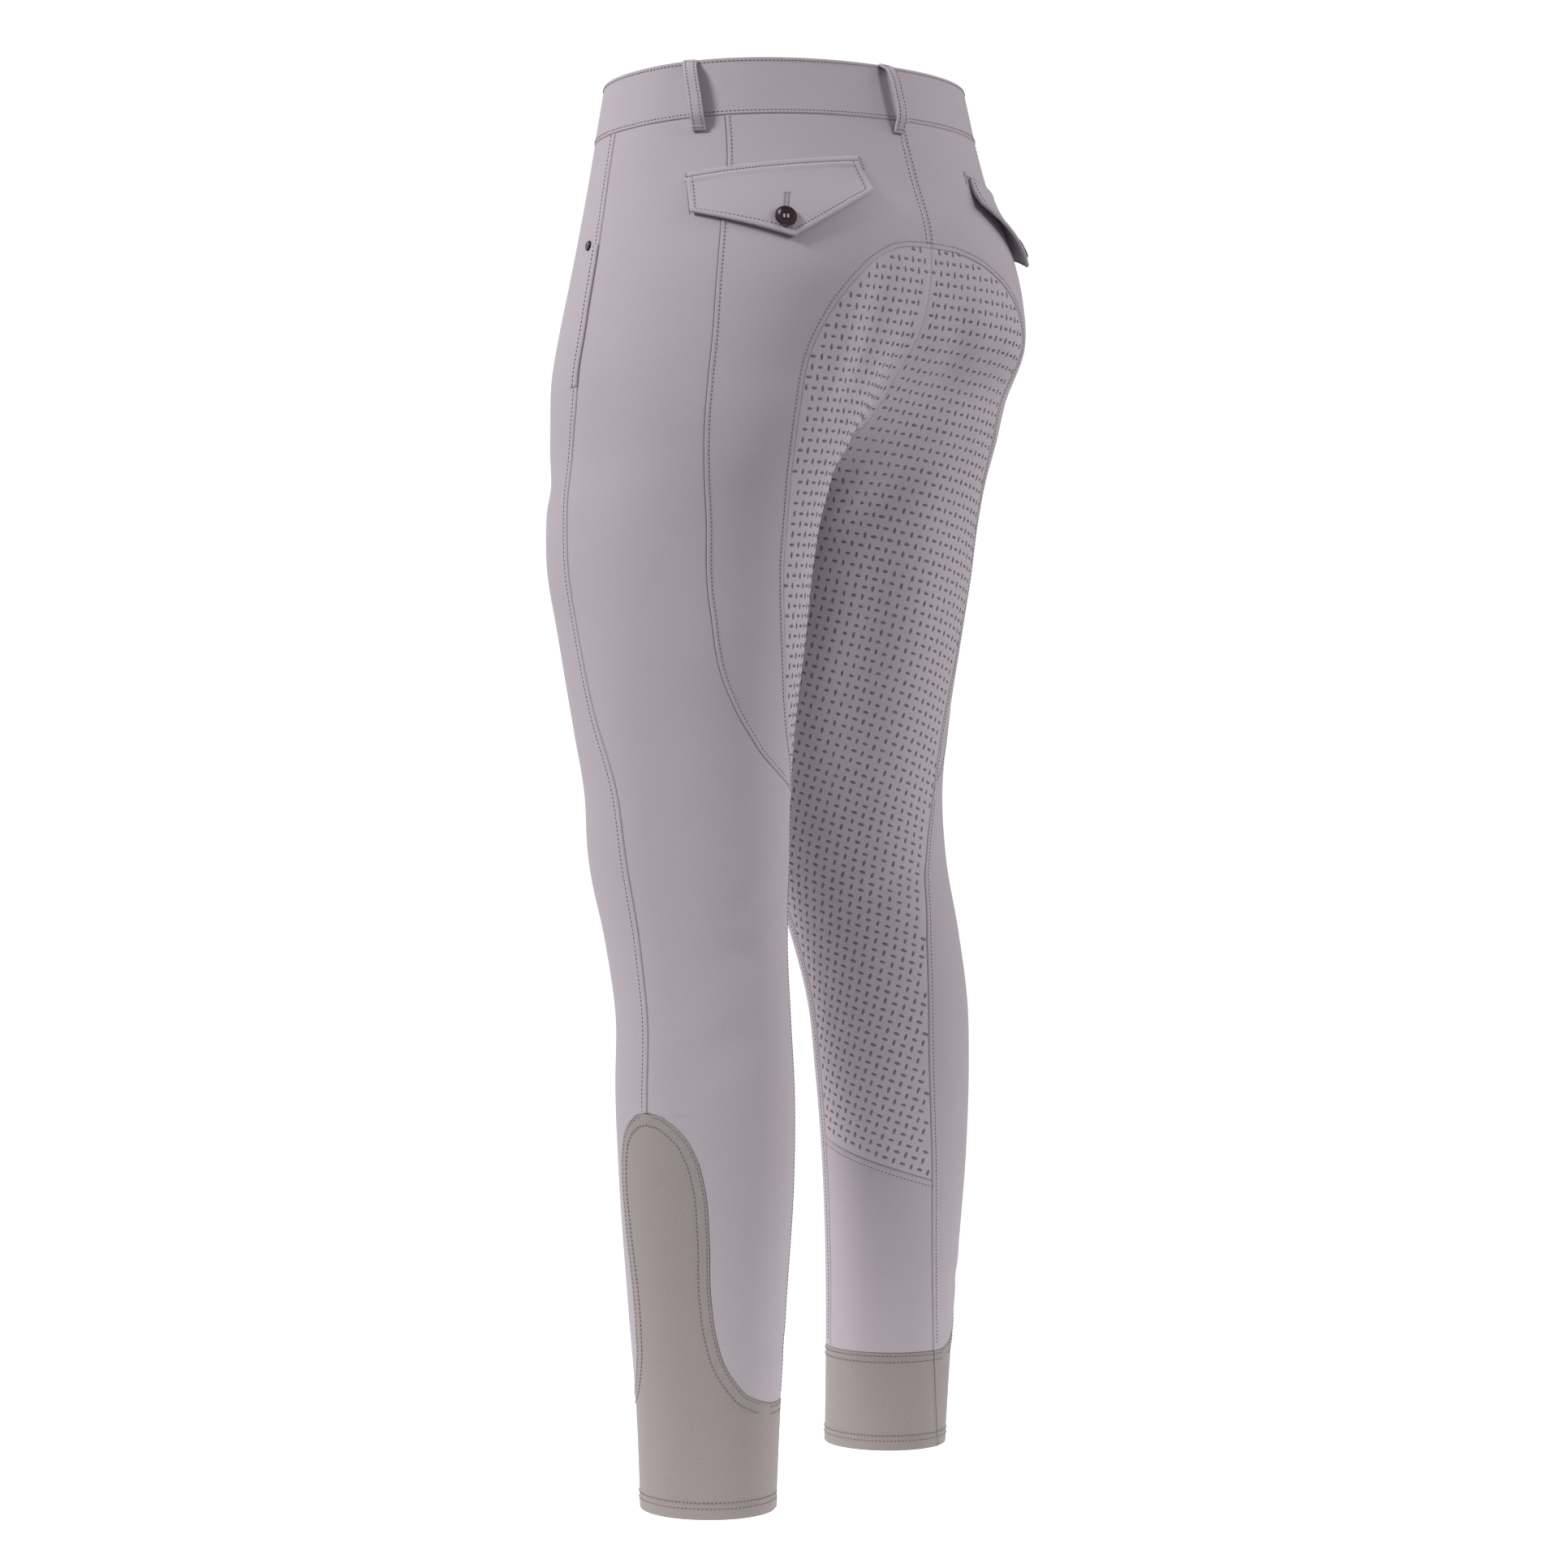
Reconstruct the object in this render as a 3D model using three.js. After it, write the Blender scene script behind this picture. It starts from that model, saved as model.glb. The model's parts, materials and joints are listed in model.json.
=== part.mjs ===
import * as THREE from "three";

// Full-seat riding breeches, standing as they hang on a wearer.
// Millimetres and degrees. +X is the wearer's left, -Y the front, +Z up.
// The origin is the middle of the waist, halfway up the waistband.

// Driving sizes
const bandTop = 21;
const bandBottom = -20;
const seatTop = -111;
const crotch = -256;
const panelTip = -490;
const tongueTop = -713;
const seatFoot = { back: -782, front: -752 };
const cuffTop = -913;
const hem = -988;

// Thicknesses, measured inward from the outer face of the cloth
const clothThickness = 1.5;
const seatThickness = 1.8;
const cuffThickness = 1.4;
const bandThickness = 2.4;
const flapThickness = 1.8;
const loopThickness = 1.6;

// Half the slit at a seam, and the clearance under what lies on a panel
const seamTrim = 0.15;
const pointTrim = 0.4; // where two edges of a piece meet, it stops this much short
const tipTrim = 0.6;
const layClearance = 0.5;

// The waist dips at the front and on the wearer's left. The lean fades out at the seat.
const waistLean = 0.05;
const leanShare = 0.9;
const leanEnd = -200;

// How far from the middle plane the two halves share one depth, and where that ends
const blendReach = 28;
const blendFade = { from: -280, to: -400 };

// One half of the garment at each height. x and y: centre of the section. outer: reach to
// the outer side. gap: the inner side's distance from the middle. front, back: depths.
// soft: rounding where the half meets the other one. power: 2 is an ellipse, more is squarer.
const sectionColumns = ["z", "x", "y", "outer", "gap", "front", "back", "soft", "power"];
const hipSections = [
  [21, 0, 0, 156, -200, 100, 100, 30, 2.2],
  [-20, 0, 0, 162, -200, 108, 112, 30, 2.2],
  [-60, 12, 0, 157, -200, 110, 124, 30, 2.2],
  [-95, 30, 2, 146, -180, 113, 134, 30, 2.2],
  [-130, 48, 4, 134, -130, 117, 134, 28, 2.2],
  [-165, 64, 3, 122, -80, 120, 128, 26, 2.2],
];
const leftSections = [
  ...hipSections,
  [-200, 77, 0, 112, -38, 118, 122, 22, 2.2],
  [-230, 85, -1, 103, -6, 115, 118, 18, 2.2],
  [-256, 89, -3, 97, 14, 111, 113, 14, 2.2],
  [-292, 92, -9, 94, 20, 107, 106, 8, 2.2],
  [-328, 95, -13, 90, 20, 102, 102, 4, 2.2],
  [-380, 99, -10, 83, 22, 94, 94, 0, 2.1],
  [-450, 104, -3, 76, 30, 81, 80, 0, 2.05],
  [-490, 107, 3, 72, 37, 75, 74, 0, 2.05],
  [-540, 110, 7, 69, 42, 74, 73, 0, 2],
  [-600, 113, 18, 63, 51, 66, 65, 0, 2],
  [-650, 116, 27, 60, 56, 63, 63, 0, 2],
  [-700, 119, 32, 61, 59, 65, 65, 0, 2],
  [-760, 123, 37, 60, 63, 62, 63, 0, 2],
  [-850, 128, 43, 54, 74, 56, 56, 0, 2],
  [-920, 131, 47, 49, 82, 51, 51, 0, 2],
  [-988, 135, 51, 46, 89, 48, 48, 0, 2],
];
const rightSections = [
  ...hipSections,
  [-200, 77, -4, 112, -38, 112, 106, 22, 2.2],
  [-230, 85, -10, 103, -6, 108, 99, 18, 2.2],
  [-256, 89, -16, 97, 14, 103, 94, 14, 2.2],
  [-292, 92, -24, 94, 20, 98, 91, 8, 2.2],
  [-328, 95, -29, 90, 20, 94, 89, 4, 2.2],
  [-380, 99, -32, 83, 22, 86, 82, 0, 2.1],
  [-450, 104, -40, 76, 30, 78, 75, 0, 2.05],
  [-490, 107, -43, 72, 37, 75, 73, 0, 2.05],
  [-540, 110, -37, 68, 42, 71, 70, 0, 2],
  [-600, 113, -19, 62, 51, 66, 65, 0, 2],
  [-650, 116, -9, 60, 57, 62, 61, 0, 2],
  [-700, 119, -7, 57, 62, 60, 59, 0, 2],
  [-760, 123, -9, 54, 69, 56, 56, 0, 2],
  [-850, 128, -16, 49, 79, 51, 51, 0, 2],
  [-920, 132, -23, 47, 85, 48, 48, 0, 2],
  [-988, 136, -30, 45, 91, 47, 47, 0, 2],
];

// Where the seams run: the angle around the section at each height, 0 at the outer side,
// 90 at the back, 180 inside and -90 at the front. The legs are turned differently.
const seamColumns = ["z", "left", "right"];
const sideSeamRows = [
  [21, -6, -6],
  [-20, -6, -6],
  [-100, -8, -9],
  [-150, -11, -13],
  [-207, -14, -20],
  [-260, -20, -28],
  [-323, -18, -32],
  [-380, -16, -30],
  [-431, -10, -25],
  [-480, 0, -16],
  [-533, 6, -8],
  [-640, 6, -4],
  [-713, 4, -6],
];
const backSideSeamRows = [
  [-20, 26, 26],
  [-60, 30, 29],
  [-100, 33, 31],
  [-145, 37, 32],
  [-190, 42, 31],
  [-260, 47, 25],
  [-310, 53, 22],
  [-365, 57, 27],
  [-421, 66, 38],
  [-449, 78, 47],
  [-471, 94, 57],
  [-482, 109, 64],
  [-490, 126, 71],
];
const seatSeamRows = [
  [-111, 96, 96],
  [-112, 91, 90],
  [-114, 87.5, 86],
  [-118, 84.5, 80.5],
  [-124, 81.5, 75],
  [-134, 78.5, 68],
  [-152, 75.5, 62],
  [-175, 74, 59],
  [-226, 77, 59],
  [-259, 80, 57],
  [-303, 86, 53],
  [-336, 89, 54],
  [-392, 96, 60],
  [-448, 110, 67],
  [-490, 129, 73],
  [-534, 134, 86],
  [-580, 134, 97],
  [-657, 129, 108],
  [-779, 129, 106],
  [-872, 130, 98],
  [-936, 131, 89],
  [-988, 132, 80],
];
const inseamRows = [
  [-256, -180, -180],
  [-260, -178, -178],
  [-270, -174, -175],
  [-292, -167, -170],
  [-325, -160, -165],
  [-365, -152, -160],
  [-450, -142, -156],
  [-540, -136, -154],
  [-650, -132, -153],
  [-988, -129, -155],
];
const tongueColumns = ["z", "leftFront", "leftBack", "rightFront", "rightBack"];
const tongueRows = [
  [-713, 4, 4, -6, -6],
  [-714, -2, 11, -12, 1],
  [-718, -10, 20, -20, 9],
  [-726, -19, 30, -29, 18],
  [-739, -25, 38, -35, 26],
  [-760, -28, 44, -38, 31],
  [-795, -26, 47, -36, 34],
  [-837, -22, 48, -33, 35],
  [-865, -22, 52, -33, 38],
  [-885, -25, 59, -36, 44],
  [-898, -31, 69, -41, 53],
  [-906, -39, 79, -48, 62],
  [-911, -54, 94, -62, 74],
  [-913, -62, 104, -70, 80],
];

// Heights where the facets break, and the extra ones at the seat's arc and at the crotch
const hipLevels = [-20, -58, -95, -111, -134, -152, -175, -200, -225, -242, -256, -270];
const thighLevels = [-300, -336, -375, -415, -449, -471, -482, -489, -515, -550, -600, -657, -700];
const tongueLevels = [-714, -718, -726, -739, -760, -795, -830, -865, -885, -898, -906, -911, -913];
const arcLevels = [-112, -114, -118, -124];
const calfLast = -898;
const cuffMiddle = -948;
const crotchLevels = [-248, -252.5, -255, -257, -259.5, -264];

// Facets across each piece
const facetsAcross = { front: 6, side: 5, back: 3, seat: 6, tongue: 5, cuff: 9, beside: 2 };

// Back pocket: flap corners as angle and height, how far round each half it is moved,
// and how far its lower edge stands off
const flapTop = [{ angle: 20, z: -65 }, { angle: 65.5, z: -55 }];
const flapFoot = [{ angle: 24, z: -91 }, { angle: 54, z: -112 }, { angle: 72.5, z: -77 }];
const flapPointShare = 0.62;
const flapShift = { left: 0, right: -8 };
const flapLift = { left: 2.5, right: 6 };
const flapFacets = { across: 9, down: 3 };
const weltHeight = 6;
const weltGap = 1;

// Buttons and rivets are turned discs. rest: how far down the flap its button touches it.
// seat: the rivet's back against the flat facet, which lies inside the cloth's curve.
const flapButton = { angle: 50, z: -97, rest: 0.87, radius: 7.8, height: 3 };
const waistButton = { x: 9, z: 0, radius: 8.5, height: 3.2 };
const rivet = { z: -102, fromSeam: -6, seat: -0.9, radius: 3.6, height: 1.6 };
const discSides = 20;

// Belt loops: angles around the waist at their top and foot, or distance from the back middle
const loopWidth = 10;
const loopTop = 20;
const loopBottom = -31;
const loopStandOff = 8.4;
const beltLoops = [
  { name: "belt_loop_back", half: "left", x: 6 },
  { name: "belt_loop_left", half: "left", angles: [16, 20.5] },
  { name: "belt_loop_right", half: "right", angles: [9, 11] },
  { name: "belt_loop_front_left", half: "left", angles: [-52, -52] },
  { name: "belt_loop_front_right", half: "right", angles: [-52, -52] },
];

// Side pocket facing beside the side seam, and the fly beside the middle
const pocketFacing = { top: -104, bottom: -207, width: 8, back: 0.4 };
const fly = { bottom: -175, past: 0.12, roundFrom: -134, footShare: 0.45, footRise: 1.1 };

// Colours and finish
const finishes = {
  cloth: new THREE.MeshStandardMaterial({ color: 0xaaa1a9, roughness: 0.85, metalness: 0 }),
  seat: new THREE.MeshStandardMaterial({ color: 0x9f969e, roughness: 0.8, metalness: 0 }),
  cuff: new THREE.MeshStandardMaterial({ color: 0xa09a94, roughness: 0.85, metalness: 0 }),
  button: new THREE.MeshStandardMaterial({ color: 0x2e1f26, roughness: 0.35, metalness: 0 }),
  rivet: new THREE.MeshStandardMaterial({ color: 0x1c1a1d, roughness: 0.4, metalness: 0.8 }),
};

const sideOf = { left: 1, right: -1 };
const otherHalf = { left: "right", right: "left" };
const garment = new THREE.Group();

// Smooth curves through the rows of a table, as a function from z to the named columns
function track(columns, rows) {
  const sorted = [...rows].sort((a, b) => a[0] - b[0]);
  const z = sorted.map((row) => row[0]);
  const gaps = z.slice(1).map((height, i) => height - z[i]);
  const curves = columns.slice(1).map((name, column) => {
    const value = sorted.map((row) => row[column + 1]);
    const slope = gaps.map((gap, i) => (value[i + 1] - value[i]) / gap);
    const tangent = value.map((unused, i) => {
      if (i === 0) return slope[0];
      if (i === gaps.length) return slope[i - 1];
      return (slope[i - 1] * gaps[i] + slope[i] * gaps[i - 1]) / (gaps[i - 1] + gaps[i]);
    });
    return { name, value, tangent };
  });
  return (height) => {
    const above = z.findIndex((level) => level >= height);
    const i = THREE.MathUtils.clamp(above === -1 ? gaps.length - 1 : above - 1, 0, gaps.length - 1);
    const t = (height - z[i]) / gaps[i];
    const found = {};
    for (const { name, value, tangent } of curves) {
      found[name] = (1 + 2 * t) * (1 - t) ** 2 * value[i]
        + t * (1 - t) ** 2 * gaps[i] * tangent[i]
        + t * t * (3 - 2 * t) * value[i + 1]
        + t * t * (t - 1) * gaps[i] * tangent[i + 1];
    }
    return found;
  };
}

const sections = {
  left: track(sectionColumns, leftSections),
  right: track(sectionColumns, rightSections),
};
const sideSeam = track(seamColumns, sideSeamRows);
const backSideSeam = track(seamColumns, backSideSeamRows);
const seatSeam = track(seamColumns, seatSeamRows);
const inseam = track(seamColumns, inseamRows);
const tongueEdges = track(tongueColumns, tongueRows);

// The section's centre and depths at distance x from the middle, where the halves agree
function sharedDepths(half, z, x) {
  const own = sections[half](z);
  const other = sections[otherHalf[half]](z);
  const { from, to } = blendFade;
  const fade = THREE.MathUtils.clamp((z - to) / (from - to), 0, 1);
  const share = 0.5 * fade * Math.exp(-((x / blendReach) ** 2));
  const mix = (name) => own[name] + (other[name] - own[name]) * share;
  return { ...own, y: mix("y"), front: mix("front"), back: mix("back") };
}

function lean(level) {
  const t = THREE.MathUtils.clamp((level - leanEnd) / (bandBottom - leanEnd), 0, 1);
  return waistLean * t * t * (3 - 2 * t);
}

// A point of the outer face. pick turns a section into its reach from the middle
// plane, before rounding, and the share of its depth, from -1 at the front to 1.
function place(half, level, pick) {
  let point = new THREE.Vector3(0, 0, level);
  for (let pass = 0; pass < 4; pass += 1) {
    const { reach, share } = pick(sections[half](point.z));
    const { soft } = sections[half](point.z);
    const x = Math.sqrt(Math.max(reach * reach - soft * soft, 0));
    const shared = sharedDepths(half, point.z, x);
    const y = shared.y + share * (share < 0 ? shared.front : shared.back);
    const z = level + lean(level) * (y - leanShare * x * sideOf[half]);
    point = new THREE.Vector3(x * sideOf[half], y, z);
  }
  return point;
}

function atAngle(half, angle, level) {
  const cos = Math.cos(THREE.MathUtils.degToRad(angle));
  const sin = Math.sin(THREE.MathUtils.degToRad(angle));
  return place(half, level, ({ x, outer, gap, front, back, power }) => {
    const width = cos < 0 ? x - gap : outer;
    const depth = sin < 0 ? front : back;
    const radius = (Math.abs(cos / width) ** power + Math.abs(sin / depth) ** power) ** (-1 / power);
    return { reach: x + radius * cos, share: radius * sin / depth };
  });
}

// A spot at distance x from the middle, on the front or the back
function atDistance(x, level, face) {
  const half = x < 0 ? "right" : "left";
  const point = place(half, level, (section) => {
    const reach = Math.hypot(x, section.soft);
    const width = reach < section.x ? section.x - section.gap : section.outer;
    const across = Math.abs((reach - section.x) / width) ** section.power;
    return { reach, share: (face === "front" ? -1 : 1) * (1 - across) ** (1 / section.power) };
  });
  return { point, normal: outward(half, point) };
}

// Angles at which a section meets the middle plane, or 180 where the leg is a whole ring
function middleAngles(half, level) {
  const meet = (depthName, sign) => {
    let z = level;
    let angle = sign * 180;
    for (let pass = 0; pass < 4; pass += 1) {
      const section = sections[half](z);
      const { x, y, outer, gap, soft, power } = section;
      const width = x < soft ? outer : x - gap;
      const room = 1 - Math.abs((x - soft) / width) ** power;
      if (level <= crotch || room <= 0) return sign * 180;
      const across = section[depthName] * room ** (1 / power);
      angle = sign * THREE.MathUtils.radToDeg(Math.atan2(across, soft - x));
      z = level + lean(level) * (y + sign * across);
    }
    return angle;
  };
  return { front: meet("front", -1), back: meet("back", 1) };
}

// Outward normal: the slope of the function that is 1 on the cloth and less inside
function outward(half, point) {
  const fullness = (x, y, z) => {
    const { y: centre, x: middle, outer, gap, front, back, soft, power } = sharedDepths(half, z, Math.abs(x));
    const reach = Math.hypot(x, soft) - middle;
    const width = reach < 0 ? middle - gap : outer;
    const depth = y < centre ? front : back;
    return Math.abs(reach / width) ** power + Math.abs((y - centre) / depth) ** power;
  };
  const { x, y, z } = point;
  const step = 0.1;
  return new THREE.Vector3(
    fullness(x + step, y, z) - fullness(x - step, y, z),
    fullness(x, y + step, z) - fullness(x, y - step, z),
    fullness(x, y, z + step) - fullness(x, y, z - step),
  ).normalize();
}

function onCloth(half, angle, level) {
  const point = atAngle(half, angle, level);
  return { point, normal: outward(half, point) };
}

function raised({ point, normal }, height) {
  return point.clone().addScaledVector(normal, height);
}

// A wall from a net of spots: the outer face is the spots, the inner one lies a
// thickness inside, and every edge that only one four-sided cell uses gets a rim.
function addWall(name, finish, spots, cells, thickness) {
  const positions = [];
  for (const spot of spots) positions.push(...spot.point.toArray());
  for (const spot of spots) positions.push(...raised(spot, -thickness).toArray());
  const inner = spots.length;
  const faces = [];
  const edges = new Map();
  for (const [a, b, c, d] of cells) {
    faces.push(a, b, c, a, c, d);
    faces.push(inner + a, inner + c, inner + b, inner + a, inner + d, inner + c);
    for (const [from, to] of [[a, b], [b, c], [c, d], [d, a]]) {
      if (edges.has(`${to} ${from}`)) edges.delete(`${to} ${from}`);
      else edges.set(`${from} ${to}`, [from, to]);
    }
  }
  for (const [from, to] of edges.values()) {
    faces.push(from, inner + from, inner + to, from, inner + to, to);
  }
  const geometry = new THREE.BufferGeometry();
  geometry.setAttribute("position", new THREE.Float32BufferAttribute(positions, 3));
  geometry.setIndex(faces);
  const mesh = new THREE.Mesh(geometry, finishes[finish]);
  mesh.name = name;
  garment.add(mesh);
}

// Spots in rows become cells, wound so that the outer face looks out
function netCells(rows, columns, start = 0) {
  const cells = [];
  for (let r = 0; r < rows - 1; r += 1) {
    for (let c = 0; c < columns - 1; c += 1) {
      const a = start + r * columns + c;
      cells.push([a, a + columns, a + columns + 1, a + 1]);
    }
  }
  return cells;
}

function mirrored(half, cells) {
  return half === "left" ? cells : cells.map((cell) => [...cell].reverse());
}

// Moves the first and last spot of each row back from the seam, square to it
function trimSeams(grid) {
  const last = grid[0].length - 1;
  const shifts = grid.map((row, r) => [0, last].map((c) => {
    const before = grid[Math.max(r - 1, 0)][c].point;
    const after = grid[Math.min(r + 1, grid.length - 1)][c].point;
    const along = after.clone().sub(before).normalize();
    const inward = new THREE.Vector3().crossVectors(row[c].normal, along).normalize();
    const toPanel = row[c === 0 ? 1 : last - 1].point.clone().sub(row[c].point);
    return inward.multiplyScalar(inward.dot(toPanel) < 0 ? -seamTrim : seamTrim);
  }));
  grid.forEach((row, r) => {
    row[0] = { ...row[0], point: row[0].point.clone().add(shifts[r][0]) };
    row[last] = { ...row[last], point: row[last].point.clone().add(shifts[r][1]) };
  });
  return grid;
}

function angleGrid(half, levels, from, to, across, levelAt = (level) => level) {
  return levels.map((level) => {
    const row = [];
    for (let c = 0; c <= across; c += 1) {
      const share = c / across;
      const height = levelAt(level, share);
      row.push(onCloth(half, THREE.MathUtils.lerp(from(level), to(level), share), height));
    }
    return row;
  });
}

// Keeps a half's cloth on its own side of the middle seam
function clearOfMiddle(half, { point, normal }) {
  const x = Math.max(point.x * sideOf[half], seamTrim) * sideOf[half];
  return { point: new THREE.Vector3(x, point.y, point.z), normal };
}

function addPanel(name, finish, half, grid, thickness) {
  const trimmed = trimSeams(grid).map((row) => row.map((spot) => clearOfMiddle(half, spot)));
  const cells = mirrored(half, netCells(trimmed.length, trimmed[0].length));
  addWall(name, finish, trimmed.flat(), cells, thickness);
}

// The levels of a panel from top to bottom, its own ends trimmed like the seams
function between(top, bottom, ...lists) {
  const inside = lists.flat().filter((level) => level < top && level > bottom);
  inside.sort((a, b) => b - a);
  return [top - seamTrim, ...inside, bottom + seamTrim];
}

// Edges of the panels as angles at a level
function frontInner(half, level) {
  return level > crotch ? middleAngles(half, level).front : inseam(level)[half];
}

function seatInner(half, level) {
  return level > crotch ? middleAngles(half, level).back : inseam(level)[half] + 360;
}

function seatOuter(half, level) {
  const angle = seatSeam(level)[half];
  return level > crotch ? Math.min(angle, middleAngles(half, level).back) : angle;
}

function frontOuter(half, level) {
  return level > tongueTop ? sideSeam(level)[half] : tongueEdges(level)[`${half}Front`];
}

function sideFront(half, level) {
  return level > tongueTop ? sideSeam(level)[half] : tongueEdges(level)[`${half}Back`];
}

function sideBack(half, level) {
  return level > panelTip ? backSideSeam(level)[half] : seatOuter(half, level);
}

function backInner(half, level) {
  return level > seatTop ? middleAngles(half, level).back : seatOuter(half, level);
}

function addLegPanels(half) {
  const legLevels = [...hipLevels, ...thighLevels, tongueTop, ...tongueLevels];
  const frontLevels = between(bandBottom, cuffTop, legLevels, crotchLevels);
  addPanel(`front_${half}`, "cloth", half, angleGrid(
    half, frontLevels, (z) => frontInner(half, z), (z) => frontOuter(half, z), facetsAcross.front,
  ), clothThickness);

  const sideLevels = between(bandBottom, cuffTop, legLevels);
  addPanel(`side_${half}`, "cloth", half, angleGrid(
    half, sideLevels, (z) => sideFront(half, z), (z) => sideBack(half, z), facetsAcross.side,
  ), clothThickness);

  const backLevels = between(bandBottom, panelTip + tipTrim, hipLevels, thighLevels, arcLevels);
  addPanel(`back_${half}`, "cloth", half, angleGrid(
    half, backLevels, (z) => backSideSeam(z)[half], (z) => backInner(half, z), facetsAcross.back,
  ), clothThickness);
}

// The seat panel's foot slopes from its back edge up to its front one, and the
// inner calf panel starts there.
function addSeatAndCalf(half) {
  const foot = { level: seatFoot.back + seamTrim, slope: seatFoot.front - seatFoot.back };
  const seatLevels = between(
    seatTop - pointTrim, seatFoot.back, hipLevels, thighLevels, arcLevels, crotchLevels, [tongueTop],
  );
  const seatLevelAt = (level, share) => (level === foot.level ? level + foot.slope * share : level);
  const seatGrid = angleGrid(
    half, seatLevels, (z) => seatOuter(half, z), (z) => seatInner(half, z), facetsAcross.seat, seatLevelAt,
  );
  addPanel(`seat_${half}`, "seat", half, seatGrid, seatThickness);

  const calfTop = seatFoot.back - seamTrim;
  const calfLevels = between(seatFoot.back, cuffTop, tongueLevels.filter((z) => z >= calfLast));
  const calfLevelAt = (level, share) => (level === calfTop ? level + foot.slope * share : level);
  const calfGrid = angleGrid(
    half, calfLevels, (z) => seatOuter(half, z), (z) => seatInner(half, z), facetsAcross.seat, calfLevelAt,
  );
  addPanel(`calf_${half}`, "cloth", half, calfGrid, clothThickness);
}

// A cuff is a strip around the ankle, its ends meeting at the back seam, with a
// tongue up the outer calf that shares the strip's top edge.
function addCuff(half) {
  const seam = (z) => seatSeam(z)[half];
  const front = (z) => tongueEdges(z)[`${half}Front`];
  const back = (z) => tongueEdges(z)[`${half}Back`];
  const { tongue, cuff, beside } = facetsAcross;
  const rise = between(tongueTop - pointTrim, cuffTop, tongueLevels);
  const tongueGrid = trimSeams(angleGrid(half, rise.slice(0, -1), front, back, tongue));

  const [tongueFront, tongueBack] = [front(cuffTop), back(cuffTop)];
  const columns = [];
  const addColumns = (from, to, count) => {
    for (let c = 0; c < count; c += 1) {
      columns.push((z) => THREE.MathUtils.lerp(from(z), to(z), c / count));
    }
  };
  addColumns((z) => seam(z) - 360, () => tongueFront, cuff);
  addColumns(() => tongueFront, () => tongueBack, tongue);
  addColumns(() => tongueBack, seam, beside);
  columns.push(seam);
  const ringLevels = [cuffTop - seamTrim, cuffMiddle, hem];
  const ringGrid = trimSeams(ringLevels.map((z) => columns.map((angle) => onCloth(half, angle(z), z))));

  const spots = [...ringGrid.flat(), ...tongueGrid.flat()];
  const cells = netCells(ringGrid.length, columns.length);
  const tongueStart = ringGrid.flat().length;
  cells.push(...netCells(tongueGrid.length, tongue + 1, tongueStart));
  const lastRow = tongueStart + (tongueGrid.length - 1) * (tongue + 1);
  for (let c = 0; c < tongue; c += 1) {
    cells.push([lastRow + c, cuff + c, cuff + c + 1, lastRow + c + 1]);
  }
  addWall(`cuff_${half}`, "cuff", spots, mirrored(half, cells), cuffThickness);
}

// One strip from the front middle around the back to the front middle again. Its facets
// break where those of the panels under it do.
function addWaistband() {
  const { front, side, back } = facetsAcross;
  const levels = [bandTop, (bandTop + bandBottom) / 2, bandBottom + seamTrim];
  const spread = (from, to, count) => Array.from({ length: count }, (unused, c) => {
    return THREE.MathUtils.lerp(from, to, c / count);
  });
  const halfRow = (half, level) => {
    const middle = middleAngles(half, level);
    const stops = [middle.front, sideSeam(bandBottom)[half], backSideSeam(bandBottom)[half], middle.back];
    const angles = [
      ...spread(stops[0], stops[1], front),
      ...spread(stops[1], stops[2], side),
      ...spread(stops[2], stops[3], back),
      middle.back,
    ];
    return angles.map((angle) => onCloth(half, angle, level));
  };
  const grid = levels.map((level) => {
    return [...halfRow("left", level), ...halfRow("right", level).reverse().slice(1)];
  });
  const trimmed = trimSeams(grid);
  addWall("waistband", "cloth", trimmed.flat(), netCells(trimmed.length, trimmed[0].length), bandThickness);
}

// What lies on a panel: rows of angle, level and height above the cloth
function addLaid(name, finish, half, rows, thickness) {
  const spots = rows.map((row) => row.map(({ angle, z, height }) => {
    const spot = onCloth(half, angle, z);
    return { ...spot, point: raised(spot, height + thickness) };
  }));
  const cells = mirrored(half, netCells(spots.length, spots[0].length));
  addWall(name, finish, spots.flat(), cells, thickness);
}

// The flap's lower edge and its upper one, at a share of the way across
function flapFootAt(half, share) {
  const [start, tip, end] = flapFoot;
  const [from, to, t] = share < flapPointShare
    ? [start, tip, share / flapPointShare]
    : [tip, end, (share - flapPointShare) / (1 - flapPointShare)];
  return alongFlap(half, from, to, t);
}

function flapTopAt(half, share) {
  return alongFlap(half, flapTop[0], flapTop[1], share);
}

function alongFlap(half, from, to, share) {
  return {
    angle: THREE.MathUtils.lerp(from.angle, to.angle, share) + flapShift[half],
    z: THREE.MathUtils.lerp(from.z, to.z, share),
  };
}

function flapHeight(half, down) {
  return layClearance + flapLift[half] * down * down;
}

function addBackPocket(half) {
  const { across, down } = flapFacets;
  const columns = Array.from({ length: across + 1 }, (unused, c) => c / across);
  const rows = Array.from({ length: down + 1 }, (unused, r) => r / down).map((t) => columns.map((share) => {
    const top = flapTopAt(half, share);
    const foot = flapFootAt(half, share);
    return {
      angle: THREE.MathUtils.lerp(top.angle, foot.angle, t),
      z: THREE.MathUtils.lerp(top.z, foot.z, t),
      height: flapHeight(half, t),
    };
  }));
  addLaid(`flap_${half}`, "cloth", half, rows, flapThickness);

  const welt = [weltGap + weltHeight, weltGap].map((above) => columns.map((share) => {
    const top = flapTopAt(half, share);
    return { angle: top.angle, z: top.z + above, height: layClearance };
  }));
  addLaid(`pocket_welt_${half}`, "cloth", half, welt, clothThickness);

  const spot = onCloth(half, flapButton.angle + flapShift[half], flapButton.z);
  const seatHeight = flapHeight(half, flapButton.rest) + flapThickness + layClearance;
  addDisc(`flap_button_${half}`, "button", spot, seatHeight, flapButton);
}

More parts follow.
